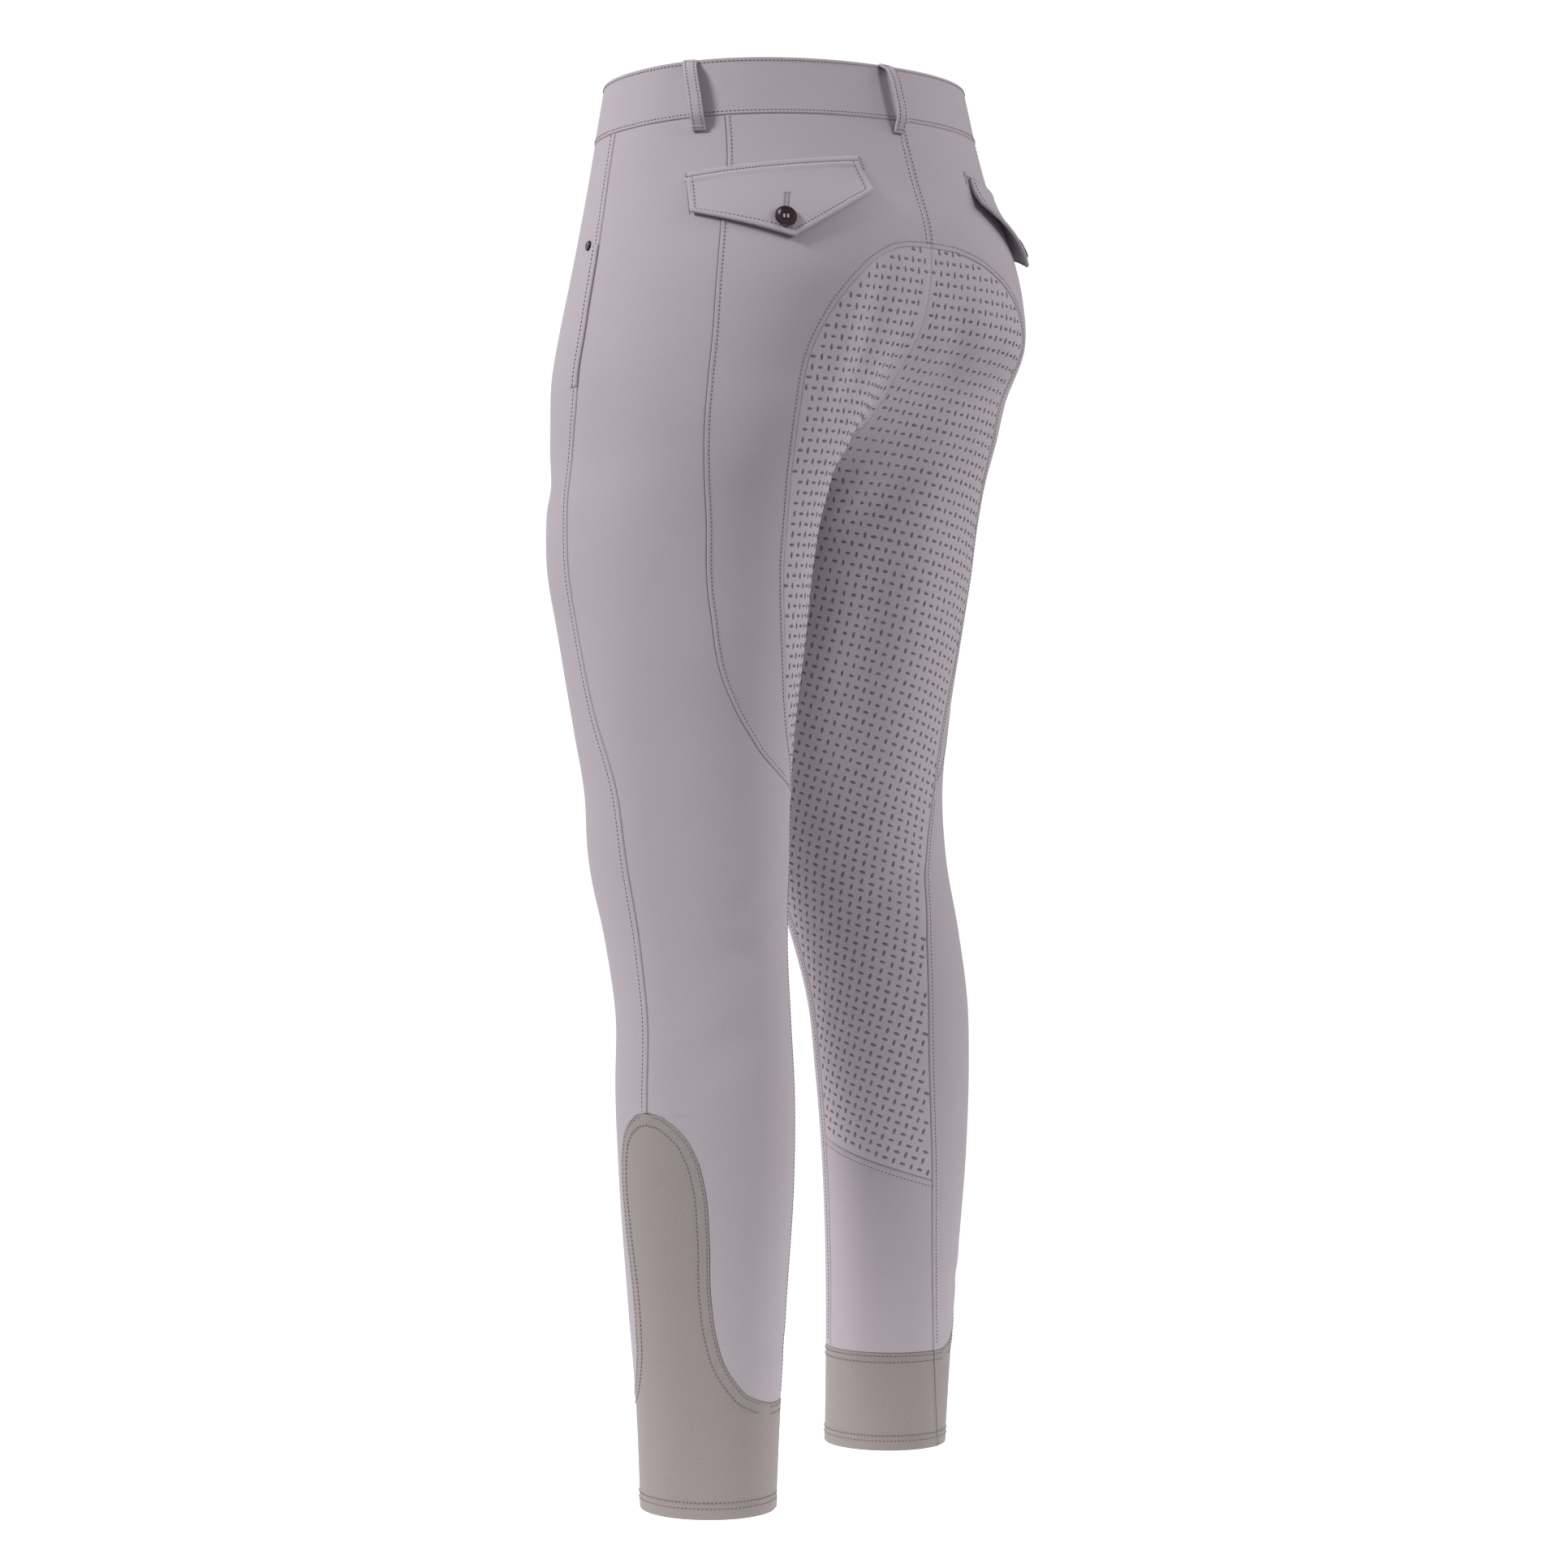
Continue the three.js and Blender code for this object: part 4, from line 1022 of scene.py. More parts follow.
def sewStitches():
    for number, (key, paths) in enumerate(stitchPaths.items()):
        group, pitch, length, radius, turn = key
        points = np.concatenate([p for p, _ in paths])
        normals = np.concatenate([n for _, n in paths])
        edges, start = [], 0
        for p, _ in paths:
            edges += [(start + i, start + i + 1) for i in range(len(p) - 1)]
            start += len(p)
        material = finishes["paleThread" if group.startswith("pale") else "thread"]
        inputs = {"Pitch": pitch * mm, "Length": length * mm, "Radius": radius * mm, "Turn": turn}
        piece = runNodes(f"stitches_{group}_{number}", stitchTree, points, edges, {"outward": normals},
                         {**inputs, "Thread": material})
        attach(piece, "root")


def offsetPath(half, points, offset):
    # a path moved sideways over the cloth by offset millimetres
    points = resample(points)
    normals = clothNormals(half, points)
    along = unit(np.gradient(points, axis=0))
    aside = np.cross(normals, along)
    moved = ontoCloth(half, points + aside * offset * sideOf[half])
    return moved, clothNormals(half, moved)


# How far rows lie from their edges, in millimetres. lift: out of the cloth
rowsAt = {
    "middle": 2.3,  # either side of the front and back seams
    "tongue": (1.7, 8.0),
    "cuffTop": (2.4, 7.0),
    "hem": (7.5, 11.5),
    "band": 2.4,
    "seatFoot": 4.6,
    "bodyLift": 0.1,
    "tongueLift": 0.25,
    "ringLift": 0.2,
    "bandLift": (0.5, 0.35),
}


def stitchSeam(half, edgeName, top, bottom, offset):
    z = np.arange(top, bottom, -1.0)
    points, normals = offsetPath(half, clothPoints(half, edgeAngle(edgeName, half, z), z), offset)
    points = points + normals * (foldHeight(half, points) + rowsAt["bodyLift"])[:, None]
    addStitches(f"body_{half}", points, normals)


def stitchBody(half):
    low = form["cuffTop"] + 5
    near, rolled, seat = [edgeKinds[kind]["stitch"] for kind in ("stitched", "rolled", "seatEdge")]
    top = form["bandBottom"] - 2
    stitchSeam(half, "frontOuter", top, form["tongueTop"] + 1, -near)
    stitchSeam(half, "sideBack", top, form["panelTip"] + 6, rolled)
    stitchSeam(half, "backInner", form["seatTop"] - 0.2, form["panelTip"] + 4, -seat)
    stitchSeam(half, "sideBack", form["panelTip"] - 8, low, -seat)
    stitchSeam(half, "frontInner", form["crotch"] - 6, low, near)
    stitchSeam(half, "frontInner", top, form["crotch"] + 1, rowsAt["middle"])
    stitchSeam(half, "backInner", top, form["seatTop"] + 2, -rowsAt["middle"])
    z = np.arange(form["tongueTop"], form["cuffTop"] + 3, -0.25)
    edges = [clothPoints(half, edgeAngle(name, half, z), z) for name in ("tongueFront", "tongueBack")]
    outline = np.concatenate([edges[0][::-1], edges[1][1:]])
    for inset in rowsAt["tongue"]:
        points, normals = offsetPath(half, outline, -inset)
        addStitches(f"cuff_{half}", points + normals * rowsAt["tongueLift"], normals)


def stitchRing(group, half, level, start, end, lift):
    count = 160
    points = clothPoints(half, np.linspace(float(start), float(end), count), np.full(count, float(level)))
    normals = clothNormals(half, points)
    addStitches(group, points + normals * lift, normals)


def stitchRings(half):
    cuff = f"cuff_{half}"
    for above in rowsAt["hem"]:
        level = form["hem"] + above
        seam = seamAngle("seat", half, level)
        stitchRing(cuff, half, level, seam - 359, seam - 1, rowsAt["tongueLift"])
    low = form["cuffTop"]
    seam = seamAngle("seat", half, low)
    front, back = edgeAngle("tongueFront", half, low), edgeAngle("tongueBack", half, low)
    for below in rowsAt["cuffTop"]:
        stitchRing(cuff, half, low - below, seam - 359, front, rowsAt["ringLift"])
        stitchRing(cuff, half, low - below, back, seam - 1, rowsAt["ringLift"])
    bandLevels = (form["bandTop"] - rowsAt["band"], form["bandBottom"] + rowsAt["band"])
    for level, lift in zip(bandLevels, rowsAt["bandLift"]):
        ends = [middleAngle(half, level, face) for face in ("front", "back")]
        stitchRing("band", half, level, *ends, lift)
    share = np.linspace(0, 1, 60)
    low, high = form["seatFootBack"], form["seatFootFront"]
    level = low + (high - low) * share - rowsAt["seatFoot"]
    start = edgeAngle("seatOuter", half, level)
    angle = start + (edgeAngle("seatInner", half, level) - start) * share
    points = clothPoints(half, angle, level)
    addStitches(f"body_{half}", points, clothNormals(half, points))


for half in sideOf:
    stitchBody(half)
for half in sideOf:
    stitchRings(half)


# The silicone grip print: ovals in a basket layout on the seat panels

gripPrint = {
    "pitch": 7.0, "length": 4.7, "width": 2.25, "height": 0.55, "margin": 2.6, "lift": 0.05,
    "lean": {"left": 4, "right": 20},  # degrees that the rows climb inwards, below the crotch
    "line": ((-330, -200, -110), (136, 115, 93)),  # heights and angles of the print's own middle
    "leanFrom": -130,
    "leanTo": -460,
    "start": (1.0, 1.5),  # mm from the seat's top to the first height looked at, and on to the first row
    "rowsReach": 800,  # mm of rows down the leg
    "columns": (-60, 30),
    "varies": {"Seed": 11, "_2": 0.9, "_3": 1.06},  # the smallest and largest drop, as a share
}


def buildDotTree():
    sizes = {name.capitalize(): gripPrint[name] * mm for name in ("length", "width", "height")}
    tree, given = newTree("gripPrint", sizes, "Silicone")
    ball = addNode(tree, "GeometryNodeMeshUVSphere", Segments=8, Rings=4, Radius=0.5)
    size = addNode(tree, "ShaderNodeCombineXYZ", X=given["Length"], Y=given["Width"], Z=given["Height"])
    drop = addNode(tree, "GeometryNodeTransform", Geometry=ball.outputs["Mesh"], Scale=size.outputs[0])
    along = addNode(tree, "GeometryNodeInputNamedAttribute", {"data_type": "FLOAT_VECTOR"}, Name="along")
    scale = addNode(tree, "FunctionNodeRandomValue", {"data_type": "FLOAT"}, **gripPrint["varies"])
    copies = addNode(tree, "GeometryNodeInstanceOnPoints", Points=given["Places"], Instance=drop.outputs[0],
                     Rotation=facing(tree, along.outputs[0]), Scale=scale.outputs[1])
    return finishTree(tree, copies, given["Silicone"])


dotTree = buildDotTree()


def printLean(half, z):
    t = np.clip((gripPrint["leanFrom"] - z) / (gripPrint["leanFrom"] - gripPrint["leanTo"]), 0, 1)
    return np.radians(gripPrint["lean"][half]) * t


def layPrint(half):
    # angle, height and direction of every drop, in rows that lean more further down
    pitch, margin = gripPrint["pitch"], gripPrint["margin"]
    levels = np.arange(form["seatTop"] - gripPrint["start"][0], form["seatFootBack"], -1.0)
    start, end = edgeAngle("seatOuter", half, levels), edgeAngle("seatInner", half, levels)
    angle = start[:, None] + (end - start)[:, None] * np.linspace(0, 1, 161)
    points = clothPoints(half, angle, levels[:, None])
    run = runAlong(points)
    # drops are counted from the middle of the back, and below it from a line down the thigh
    line = np.minimum(end, np.interp(levels, *gripPrint["line"]))
    inner = [np.interp(a0, a, r) for a0, a, r in zip(line, angle, run)]
    found = []
    across, height = -0.5 * pitch, levels[0] - gripPrint["start"][1]
    for row in range(int(gripPrint["rowsReach"] / pitch)):
        lean = float(printLean(half, height))
        for column in range(*gripPrint["columns"]):
            z = height + column * pitch * math.sin(lean)
            index = int(round(levels[0] - z))
            if not 0 <= index < len(levels):
                continue
            at = inner[index] + across + column * pitch * math.cos(lean)
            if not margin < at < run[index, -1] - margin:
                continue
            here = np.interp(at, run[index], angle[index])
            share = (here - start[index]) / (end[index] - start[index])
            foot = form["seatFootBack"] + (form["seatFootFront"] - form["seatFootBack"]) * share
            if z > foot + margin:
                found.append((here, z, (row + column) % 2))
        across += pitch * math.sin(lean)
        height -= pitch * math.cos(lean)
    return np.array(found).T


def addGripPrint(half):
    angle, z, standing = layPrint(half)
    points = clothPoints(half, angle, z)
    edge = np.arange(form["seatTop"] - 0.3, form["seatFootBack"], -1.0)
    outline = clothPoints(half, edgeAngle("seatOuter", half, edge), edge)
    gaps = np.array([np.linalg.norm(outline - p, axis=-1).min() for p in points])
    keep = gaps > gripPrint["margin"]
    points, standing = points[keep], standing[keep]
    normals = clothNormals(half, points)
    level = unit(np.cross(normals, [0, 0, 1.0]))
    along = np.where(standing[:, None] == 0, level, np.cross(level, normals))
    aside = np.cross(normals, along)
    lean = printLean(half, points[:, 2:]) * sideOf[half]
    along = unit(along * np.cos(lean) + aside * np.sin(lean))
    points = points + normals * (foldHeight(half, points) + gripPrint["lift"])[:, None]
    inputs = {name.capitalize(): gripPrint[name] * mm for name in ("length", "width", "height")}
    piece = runNodes(f"gripPrint_{half}", dotTree, points, [], {"outward": normals, "along": along},
                     {**inputs, "Silicone": finishes["silicone"]})
    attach(piece, "root")
    return len(points)


for half in sideOf:
    print("grip print", half, addGripPrint(half))


# What lies on the panels: flaps, welts, loops, fly and pocket facings

flapShape = {
    "top": ((20, -65), (65.5, -55)),  # angle and height of the corners
    "shift": {"left": 0, "right": -8},
    "foot": ((24, -91), (54, -112), (72.5, -77)),
    "pointShare": 0.62,
    "cut": (115, 38),  # width and drop that the cloth's weave is laid to
    "stitched": (112, 40),  # width and drop inside which the stitches turn
    "lift": {"left": 2.6, "right": 6.2},
    "curl": 1.8,  # how late the lift comes in towards the foot
    "rightCurl": {"least": 0.45, "more": 0.8, "at": 0.72, "reach": 0.34},
    "puff": 0.35,
    "thickness": 2.0,
    "clearance": 0.5,
    "stitchInset": 4.0,
    "roll": (0.9, 1.3),  # depth and reach of the turned edge
}


def edgeRoll(edge, depth, reach):
    # how far an edge turns down, by the distance from it
    return -depth * np.clip(1 - edge / reach, 0, 1) ** 2


def grooveAt(edge, inset, depth, reach):
    # how far a row of stitches pulls the cloth in
    return -depth * np.exp(-(((edge - inset) / reach) ** 2))


def lerp(a, b, t):
    return np.asarray(a, float) + (np.asarray(b, float) - np.asarray(a, float)) * np.asarray(t, float)


def flapPlace(half, share, down):
    # angle and height of a point of the flap, from its shares across and down
    shape = flapShape
    share, down = np.broadcast_arrays(np.asarray(share, float), np.asarray(down, float))
    top = lerp(shape["top"][0], shape["top"][1], share[..., None])
    turn = shape["pointShare"]
    before = lerp(shape["foot"][0], shape["foot"][1], (share / turn)[..., None])
    after = lerp(shape["foot"][1], shape["foot"][2], ((share - turn) / (1 - turn))[..., None])
    foot = np.where((share < turn)[..., None], before, after)
    place = lerp(top, foot, down[..., None])
    return place[..., 0] + shape["shift"][half], place[..., 1]


def flapSurface(half, share, down, extra=0.0):
    angle, z = flapPlace(half, share, down)
    base = clothPoints(half, angle, z)
    normals = clothNormals(half, base)
    share, down = np.asarray(share), np.asarray(down)
    curl = flapShape["lift"][half] * down ** flapShape["curl"]
    if half == "right":
        more = flapShape["rightCurl"]
        curl = curl * (more["least"] + more["more"] * np.exp(-(((share - more["at"]) / more["reach"]) ** 2)))
    puff = flapShape["puff"] * np.sin(np.pi * share) * np.sin(np.pi * down)
    height = flapShape["clearance"] + flapShape["thickness"] + curl + puff + extra
    return base + normals * height[..., None], normals


def roundedShares(length, inset=(0, 0.25, 0.7, 1.4, 2.6, 4.0, 5.2), count=22):
    ends = np.array(inset) / length
    return np.concatenate([ends, np.linspace(ends[-1], 1 - ends[-1], count)[1:-1], 1 - ends[::-1]])


def distanceToEdge(points):
    # distance of every point of a net from the net's outline
    outline = np.concatenate([points[0], points[1:, -1], points[-1, -2::-1], points[-2:0:-1, 0]])
    outline = resample(np.concatenate([outline, outline[:1]]), 0.5)
    flat = points.reshape(-1, 3)
    found = np.empty(len(flat))
    for start in range(0, len(flat), 400):
        part = flat[start:start + 400]
        found[start:start + 400] = np.linalg.norm(part[:, None] - outline[None], axis=-1).min(1)
    return found.reshape(points.shape[:2])


def addFlap(half):
    width, drop = flapShape["cut"]
    turn = flapShape["pointShare"]
    share = np.unique(np.append(roundedShares(width, count=40), turn))
    shareNet, downNet = np.meshgrid(share, roundedShares(drop, count=12))
    outer, normals = flapSurface(half, shareNet, downNet)
    edge = distanceToEdge(outer)
    inset = flapShape["stitchInset"]
    welt = 0.3 * np.clip((inset + 0.5 - edge) / 1.0, 0, 1)
    lift = edgeRoll(edge, *flapShape["roll"]) + (grooveAt(edge, inset, 0.3, 0.7) + welt)
    outer = outer + normals * lift[..., None]
    uv = np.stack([shareNet * width, -downNet * drop], -1)
    piece = shell(f"flapCloth_{half}", outer, normals, flapShape["thickness"], "twill", uv, half == "right")
    declare(piece, f"flap_{half}")

    s, d = inset / flapShape["stitched"][0], inset / flapShape["stitched"][1]
    corners = [(s, d * 0.4), (s, 1 - d), (turn, 1 - d * 0.85), (1 - s, 1 - d * 1.4), (1 - s, d * 0.4)]
    along = np.linspace(0, 1, 40)[:, None]
    path = np.concatenate([lerp(a, b, along) for a, b in zip(corners[:-1], corners[1:])])
    points, pathNormals = flapSurface(half, path[:, 0], path[:, 1], 0.1)
    addStitches(f"pocket_{half}", points, pathNormals)


weltShape = {
    "rows": (-1.5, -0.6, 0.4, 0.9, 1.5, 2.1, 2.8, 3.5, 4.2, 5.0),  # mm above the flap's top
    "past": 0.012,  # share of the flap's width that the welt goes past its corners
    "rise": 0.45,
    "thickness": 0.9,
    "stitch": 1.5,
    "tackPast": 0.016,
    "tackTop": 4.5,
    "tackDrop": (1.0, 0.35),  # share of the flap's two ends that the tacks run down
    "tacks": {"pitch": 0.62, "length": 1.7, "radius": 0.22, "turn": math.pi / 2},
}


def addWelt(half):
    first, last = flapShape["top"]
    shift, past = flapShape["shift"][half], weltShape["past"]
    rise = np.array(weltShape["rows"])[::-1]
    shareNet, riseNet = np.meshgrid(np.linspace(-past, 1 + past, 70), rise)
    corner = lerp(first, last, shareNet[..., None])
    base = clothPoints(half, corner[..., 0] + shift, corner[..., 1] + riseNet)
    normals = clothNormals(half, base)
    height = weltShape["rise"] * (1 + np.clip(1 - riseNet / 4.0, 0, 1))
    height = height + grooveAt(riseNet, weltShape["stitch"], 0.3, 0.6)
    height = height + edgeRoll(distanceToEdge(base), 0.6, 0.8)
    uv = np.stack([shareNet * flapShape["cut"][0], riseNet], -1)
    piece = shell(f"pocketWelt_cloth_{half}", base + normals * height[..., None], normals,
                  weltShape["thickness"], "twill", uv, half == "right")
    declare(piece, f"pocket_welt_{half}", goesWith=f"flapCloth_{half}")
    place = lerp(first, last, np.linspace(0, 1, 120)[:, None])
    points = clothPoints(half, place[:, 0] + shift, place[:, 1] + weltShape["stitch"])
    pathNormals = clothNormals(half, points)
    addStitches(f"pocket_{half}", points + pathNormals * 0.6, pathNormals, pitch=2.2, length=1.7)
    feet = (flapShape["foot"][0], flapShape["foot"][2])
    ends = (-weltShape["tackPast"], 1 + weltShape["tackPast"])
    for end, foot, drop in zip(ends, feet, weltShape["tackDrop"]):
        place = lerp(first, last, end)
        line = np.linspace(0, 1, 30) * drop
        angle = lerp(place[0], foot[0] + (end - 0.5) * 1.5, line)
        points = clothPoints(half, angle + shift, lerp(place[1] + weltShape["tackTop"], foot[1], line))
        pathNormals = clothNormals(half, points)
        addStitches(f"palePocketEnd_{half}", points + pathNormals * 0.35, pathNormals, **weltShape["tacks"])


loopShape = {
    "width": 9.5, "thickness": 1.5, "top": 21, "bottom": -31, "clearance": 0.7, "standOff": 8.0,
    "across": (-1, -0.96, -0.86, -0.62, -0.5, -0.25, 0, 0.25, 0.5, 0.62, 0.86, 0.96, 1),
    "stitchColumns": (3, 9),
    "tacks": {"pitch": 0.7, "length": 1.5, "radius": 0.24, "turn": math.pi / 2},
    "places": [
        {"name": "belt_loop_back", "half": "left", "x": 6},
        {"name": "belt_loop_left", "half": "left", "angle": (16, 20.5)},
        {"name": "belt_loop_right", "half": "right", "angle": (9, 11)},
        {"name": "belt_loop_front_left", "half": "left", "angle": (-52, -52)},
        {"name": "belt_loop_front_right", "half": "right", "angle": (-52, -52)},
    ],
}
# share of the way down, then share of the stand-off
loopRise = throughRows([(0, 0), (0.03, 0.16), (0.1, 0.62), (0.22, 0.9), (0.45, 1.0), (0.7, 0.96),
                        (0.84, 0.72), (0.93, 0.28), (1, 0)])


def backAngle(half, x, level):
    # the angle at which the back lies x from the middle
    angle = np.linspace(40, 100, 400)
    points = clothPoints(half, angle, np.full(400, float(level)))
    return float(np.interp(-abs(x), -np.abs(points[:, 0]), angle))


def addLoop(place):
    half = place["half"]
    down = np.linspace(0, 1, 46)
    level = lerp(loopShape["top"], loopShape["bottom"], down)
    if "x" in place:
        angle = np.array([backAngle(half, place["x"], z) for z in level])
    else:
        angle = lerp(*place["angle"], down)
    spine = clothPoints(half, angle, level)
    normals = clothNormals(half, spine)
    normal = unit(normals.mean(0))
    aside = unit(np.cross([0, 0, 1.0], normal)) * sideOf[half]
    rise = np.clip(loopRise(down)[:, 0], 0, 1)
    height = loopShape["clearance"] + loopShape["thickness"] + loopShape["standOff"] * rise
    across = np.array(loopShape["across"]) * loopShape["width"] / 2
    edge = loopShape["width"] / 2 - np.abs(across)
    dip = edgeRoll(edge, 0.5, 0.7) + grooveAt(edge, 1.8, 0.22, 0.5)
    lift = height[:, None] + dip[None, :]
    points = spine[:, None] + normal * lift[..., None] + aside * across[None, :, None]
    tangent = unit(np.gradient(points, axis=0))
    netNormals = unit(np.cross(aside * sideOf[half], tangent)) * -1
    netNormals = np.where((netNormals @ normal)[..., None] < 0, -netNormals, netNormals)
    uv = np.broadcast_to(np.stack(np.meshgrid(across, level), -1), points.shape[:2] + (2,))
    piece = shell(place["name"] + "_cloth", points, netNormals, loopShape["thickness"], "twill", uv,
                  half == "right")
    declare(piece, place["name"], goesWith="waistbandCloth")
    for column in loopShape["stitchColumns"]:
        out = netNormals[2:-2, column]
        addStitches("loops", points[2:-2, column] + out * 0.05, out, pitch=2.6, length=1.9)
    for row in (2, -3):
        path = resample(points[row, 1:-1], 0.5)
        addStitches("paleLoopEnds", path + normal * 0.1, np.broadcast_to(normal, path.shape),
                    **loopShape["tacks"])


sidePocketShape = {
    "top": -103, "bottom": -208, "lift": 1.35, "thickness": 1.2, "stitchInset": 4,
    "across": (-9, -8.7, -8.0, -6.4, -5.2, -4.2, -2.6, -1.2, -0.5, -0.2),  # mm from the side seam
    "stitchColumn": 4,
}


def addSidePocket(half):
    level = lerp(sidePocketShape["top"], sidePocketShape["bottom"], np.linspace(0, 1, 60))
    across = np.array(sidePocketShape["across"])
    radius = sectionAt(half, level)["outer"]
    angle = seamAngle("side", half, level)[:, None] + np.degrees(across[None, :] / radius[:, None])
    base = clothPoints(half, angle, level[:, None])
    normals = clothNormals(half, base)
    edge = distanceToEdge(base)
    height = sidePocketShape["lift"] + edgeRoll(edge, 0.9, 1.1)
    height = height + grooveAt(edge, sidePocketShape["stitchInset"], 0.2, 0.6)
    uv = np.broadcast_to(np.stack(np.meshgrid(across, level), -1), base.shape[:2] + (2,))
    piece = shell(f"sidePocket_cloth_{half}", base + normals * height[..., None], normals,
                  sidePocketShape["thickness"], "twill", uv, half == "right")
    declare(piece, f"side_pocket_{half}", goesWith=f"frontPanel_{half}")
    column = sidePocketShape["stitchColumn"]
    out = normals[1:-1, column]
    addStitches(f"sidePocket_{half}", base[1:-1, column] + out * 1.25, out)


flyShape = {
    "top": -20, "bottom": -176, "width": 38, "past": 4, "lift": 1.9, "thickness": 1.4,
    "roundFrom": -130,  # from here down the edge curves in, by this share at the foot
    "roundBy": 0.62,
    "pastColumns": (-3.7, -3.0, -2, 0),  # mm
    "columns": (0.1, 0.3, 0.5, 0.7, 0.82, 0.9, 0.95, 0.985, 1),  # shares of the width
    "stitchColumns": (10, 11),
}


def frontAngle(half, x, level):
    # the angle at which the front lies x from the middle
    count = 600
    angle = np.linspace(float(middleAngle(half, level, "front")), -30, count)
    points = clothPoints(half, angle, np.full(count, float(level)))
    return float(np.interp(abs(x), np.abs(points[:, 0]), angle))


def frontPoint(x, level):
    half = "left" if x >= 0 else "right"
    return clothPoints(half, frontAngle(half, x, level), level)


def addFly():
    levels = levelsBetween(flyShape["top"], flyShape["bottom"], 4)
    rows = []
    for level in levels:
        down = (flyShape["roundFrom"] - level) / (flyShape["roundFrom"] - flyShape["bottom"])
        width = flyShape["width"] * (1 - flyShape["roundBy"] * np.clip(down, 0, 1) ** 2.2)
        x = np.array([-flyShape["past"], *flyShape["pastColumns"], *(np.array(flyShape["columns"]) * width)])
        rows.append([frontPoint(v, level) for v in x])
    base = np.array(rows)
    normals = clothNormals("left", base)
    height = flyShape["lift"] + edgeRoll(distanceToEdge(base), 0.9, 1.2)
    run = np.linspace(0, flyShape["width"] + flyShape["past"], base.shape[1])
    uv = np.stack(np.meshgrid(run, levels), -1)
    outer = base + normals * height[..., None]
    piece = shell("flyCloth", outer, normals, flyShape["thickness"], "twill", uv)
    declare(piece, "fly")
    for column in flyShape["stitchColumns"]:
        out = normals[1:-2, column]
        addStitches("fly", base[1:-2, column] + out * 1.85, out)


# Buttons and rivets

buttonShape = {
    "flap": {"radius": 7.8, "height": 2.9, "holes": 1.05, "spread": 1.9},
    "waist": {"radius": 8.5, "height": 3.1, "holes": 1.1, "spread": 2.0},
    # shares of the radius and the height, from the middle of the back round to the front's
    "profile": (
        (0, 0), (0.7, 0), (0.93, 0.22), (1, 0.5), (0.985, 0.78), (0.92, 0.97), (0.84, 1), (0.76, 0.94),
        (0.69, 0.8), (0.6, 0.7), (0.3, 0.66), (0, 0.65),
    ),
    "holeAside": (0.72, 0.8),  # shares of the spread, across and up
    "threads": (-0.45, 0, 0.45),
    "threadRadius": 0.24,
    "sharpAngle": 38,
    "onFlap": (0.555, 0.79),  # shares across and down the flap
    "onWaistband": (9, 0),  # mm from the middle, and height
}


def turned(profile, sides=64):
    # a turned solid round Z from radius and height pairs that start and end on the axis
    turns = [2 * math.pi * i / sides for i in range(sides)]
    vertices, faces = [(0, 0, profile[0][1])], []
    for r, z in profile[1:-1]:
        vertices += [(r * math.cos(turn), r * math.sin(turn), z) for turn in turns]
    vertices.append((0, 0, profile[-1][1]))
    last = len(vertices) - 1
    rings = len(profile) - 2
    for i in range(sides):
        j = (i + 1) % sides
        faces.append((0, 1 + j, 1 + i))
        for r in range(rings - 1):
            a = 1 + r * sides
            faces.append((a + i, a + j, a + sides + j, a + sides + i))
        top = 1 + (rings - 1) * sides
        faces.append((last, top + i, top + j))
    return np.array(vertices), faces


def upright(spot, normal, up=(0, 0, 1)):
    # turns and moves local points so that their Z is the normal at the spot
    z = unit(np.asarray(normal, float))
    x = unit(np.cross(up, z))
    y = np.cross(z, x)
    return lambda p: np.asarray(p) @ np.stack([x, y, z]) + spot


def joined(parts):
    # one list of vertices and one of faces from several of each
    vertices, faces = [], []
    for points, found in parts:
        start = len(vertices)
        vertices += points.tolist()
        faces += [tuple(i + start for i in face) for face in found]
    return vertices, faces


threadParts = []


def addButton(name, node, size, place, owner):
    r, h, bore = size["radius"], size["height"], size["holes"]
    aside, up = [share * size["spread"] for share in buttonShape["holeAside"]]
    vertices, faces = turned([(a * r, b * h) for a, b in buttonShape["profile"]])
    piece = newPiece(name, vertices, faces, "button")
    hole, holeFaces = turned([(0, -1), (bore * 0.85, -1), (bore * 0.85, h * 0.5), (bore * 1.1, h * 0.68),
                              (bore * 1.2, h + 1), (0, h + 1)], 20)
    holes = [(hole + [x * aside, y * up, 0], holeFaces) for x in (-1, 1) for y in (-1, 1)]
    cutter = newPiece(name + "_holes", *joined(holes), "button")
    cut = piece.modifiers.new("holes", "BOOLEAN")
    cut.operation = "DIFFERENCE"
    cut.solver = "EXACT"
    cut.object = cutter
    bpy.context.view_layer.update()
    done = bpy.data.meshes.new_from_object(piece.evaluated_get(bpy.context.evaluated_depsgraph_get()))
    piece.modifiers.clear()
    piece.data = done
    bpy.data.objects.remove(cutter)
    local = np.empty(len(done.vertices) * 3)
    done.vertices.foreach_get("co", local)
    done.vertices.foreach_set("co", (place(local.reshape(-1, 3) / mm) * mm).ravel())
    done.polygons.foreach_set("use_smooth", [True] * len(done.polygons))
    done.set_sharp_from_angle(angle=math.radians(buttonShape["sharpAngle"]))
    done.update()
    declare(piece, node, goesWith=owner)
    t = np.linspace(0, np.pi, 12)
    for x in (-1, 1):
        for shift in buttonShape["threads"]:
            arc = [np.full(12, x * aside + shift), -np.cos(t) * up, h * 0.5 + np.sin(t) ** 0.6 * h * 0.34]
            threadParts.append(roundThread(place(np.stack(arc, -1)), buttonShape["threadRadius"]))


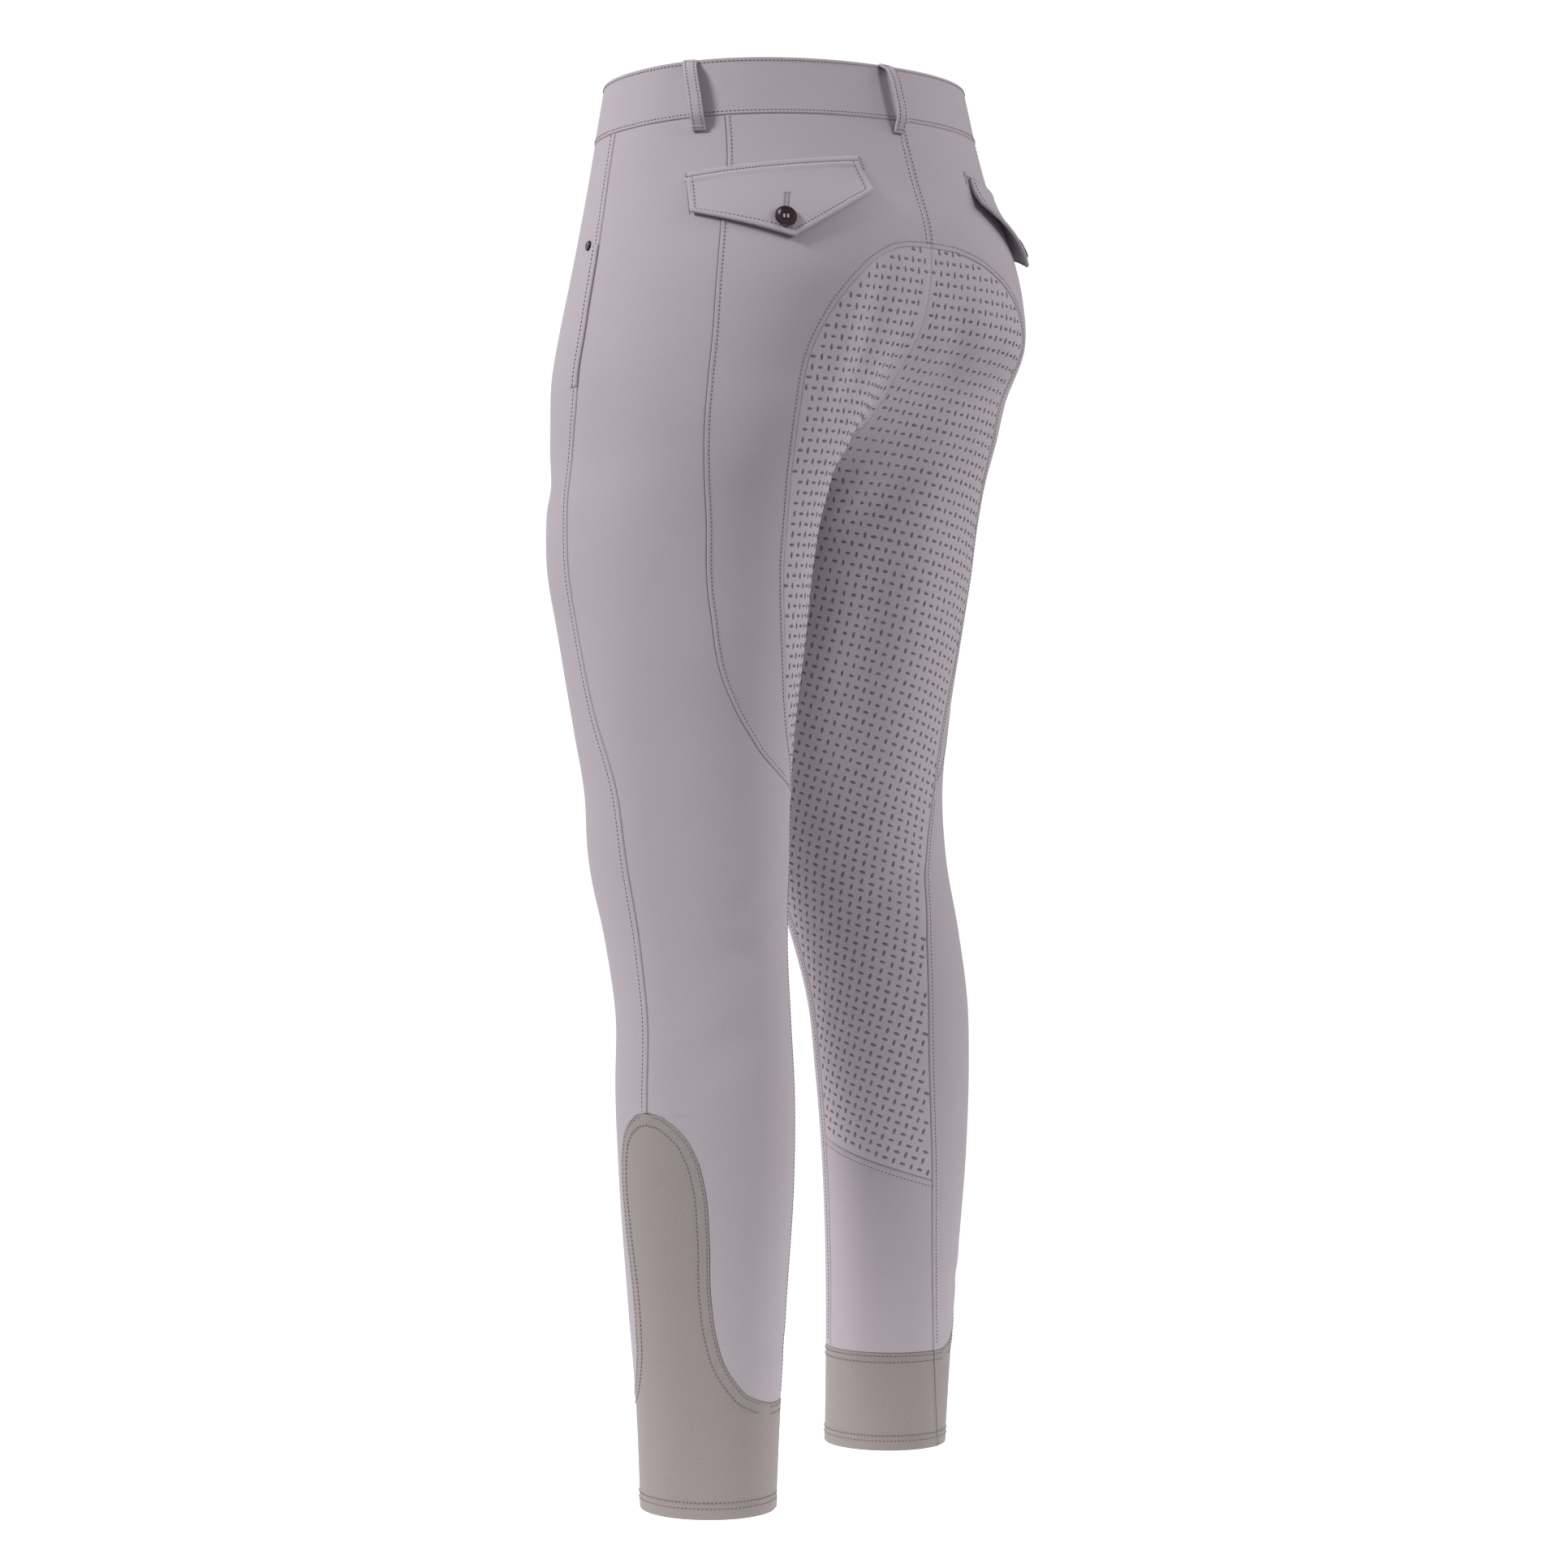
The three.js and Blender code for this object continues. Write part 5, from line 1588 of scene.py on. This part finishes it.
def roundThread(path, radius):
    tangent = unit(np.gradient(path, axis=0))
    first = unit(np.cross(tangent, [0.3, 0.2, 1.0]))
    second = np.cross(tangent, first)
    turn = np.linspace(0, 2 * np.pi, 7)[:-1]
    cos, sin = np.cos(turn)[None, :, None], np.sin(turn)[None, :, None]
    ring = path[:, None] + radius * (cos * first[:, None] + sin * second[:, None])
    count, sides = ring.shape[:2]
    faces = []
    for i in range(count - 1):
        for j in range(sides):
            k = (j + 1) % sides
            faces.append((i * sides + j, i * sides + k, (i + 1) * sides + k, (i + 1) * sides + j))
    faces.append(tuple(range(sides))[::-1])
    faces.append(tuple((count - 1) * sides + j for j in range(sides)))
    return ring.reshape(-1, 3), faces


def joinThreads():
    piece = newPiece("buttonThreads", *joined(threadParts), "paleThread")
    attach(piece, "root")


# the buttonhole, in shares of the flap: above is from the button's middle to its lower end
holeShape = {
    "above": 0.14, "length": 0.23, "width": 0.011, "endWidth": 1.6,
    "sides": {"pitch": 0.5, "length": 1.7, "radius": 0.2, "turn": math.pi / 2},
    "end": {"pitch": 0.5, "length": 1.6, "radius": 0.22, "turn": math.pi / 2},
}


def addFlapButton(half):
    share, down = buttonShape["onFlap"]
    points, normals = flapSurface(half, np.array([share]), np.array([down]), 0.35)
    step, _ = flapSurface(half, np.array([share, share + 0.02]), np.array([down - 0.1, down - 0.1]))
    below, _ = flapSurface(half, np.array([share]), np.array([down + 0.1]))
    outward = unit(np.cross(step[1] - step[0], below[0] - step[0]))
    outward = outward if outward @ normals[0] > 0 else -outward
    addButton(f"flapButton_{half}", f"flap_button_{half}", buttonShape["flap"], upright(points[0], outward),
              f"flapCloth_{half}")
    line = np.linspace(0, 1, 30)
    length, width = holeShape["length"], holeShape["width"]
    foot = down - holeShape["above"]
    group = f"paleHole_{half}"
    for side in (-1, 1):
        path, pathNormals = flapSurface(half, share + side * width, foot - length * (1 - line), 0.12)
        addStitches(group, path, pathNormals, **holeShape["sides"])
    across = share + width * holeShape["endWidth"] * (2 * line - 1)
    path, pathNormals = flapSurface(half, across, np.full(30, foot - length), 0.14)
    addStitches(group, path, pathNormals, **holeShape["end"])


rivetShape = {
    "level": -102, "inFront": 6, "radius": 3.6, "height": 1.5, "lift": 0.1,  # inFront: degrees
    "profile": (
        (0, 0), (1, 0), (1, 0.35), (0.93, 0.7), (0.78, 0.9), (0.7, 0.82), (0.6, 0.8), (0.3, 1.0), (0, 1.05),
    ),
}


def addRivet(half):
    level, r, h = rivetShape["level"], rivetShape["radius"], rivetShape["height"]
    angle = float(seamAngle("side", half, level)) - rivetShape["inFront"]
    spot = clothPoints(half, angle, float(level))
    normal = clothNormals(half, spot)
    vertices, faces = turned([(a * r, b * h) for a, b in rivetShape["profile"]], 40)
    place = upright(spot + normal * rivetShape["lift"], normal)
    piece = newPiece(f"rivetCap_{half}", place(vertices), faces, "rivet")
    declare(piece, f"rivet_{half}", goesWith=f"frontPanel_{half}")


def addWaistButton():
    x, level = buttonShape["onWaistband"]
    spot = frontPoint(x, float(level))
    normal = clothNormals("left", spot)
    addButton("waistButton", "waist_button", buttonShape["waist"], upright(spot + normal * 0.9, normal),
              "waistbandCloth")


for half in sideOf:
    addFlap(half)
    addWelt(half)
    addSidePocket(half)
    addFlapButton(half)
    addRivet(half)
for place in loopShape["places"]:
    addLoop(place)
addFly()
addWaistButton()
joinThreads()
print("pockets, loops and buttons done")
sewStitches()
print("stitches sewn")
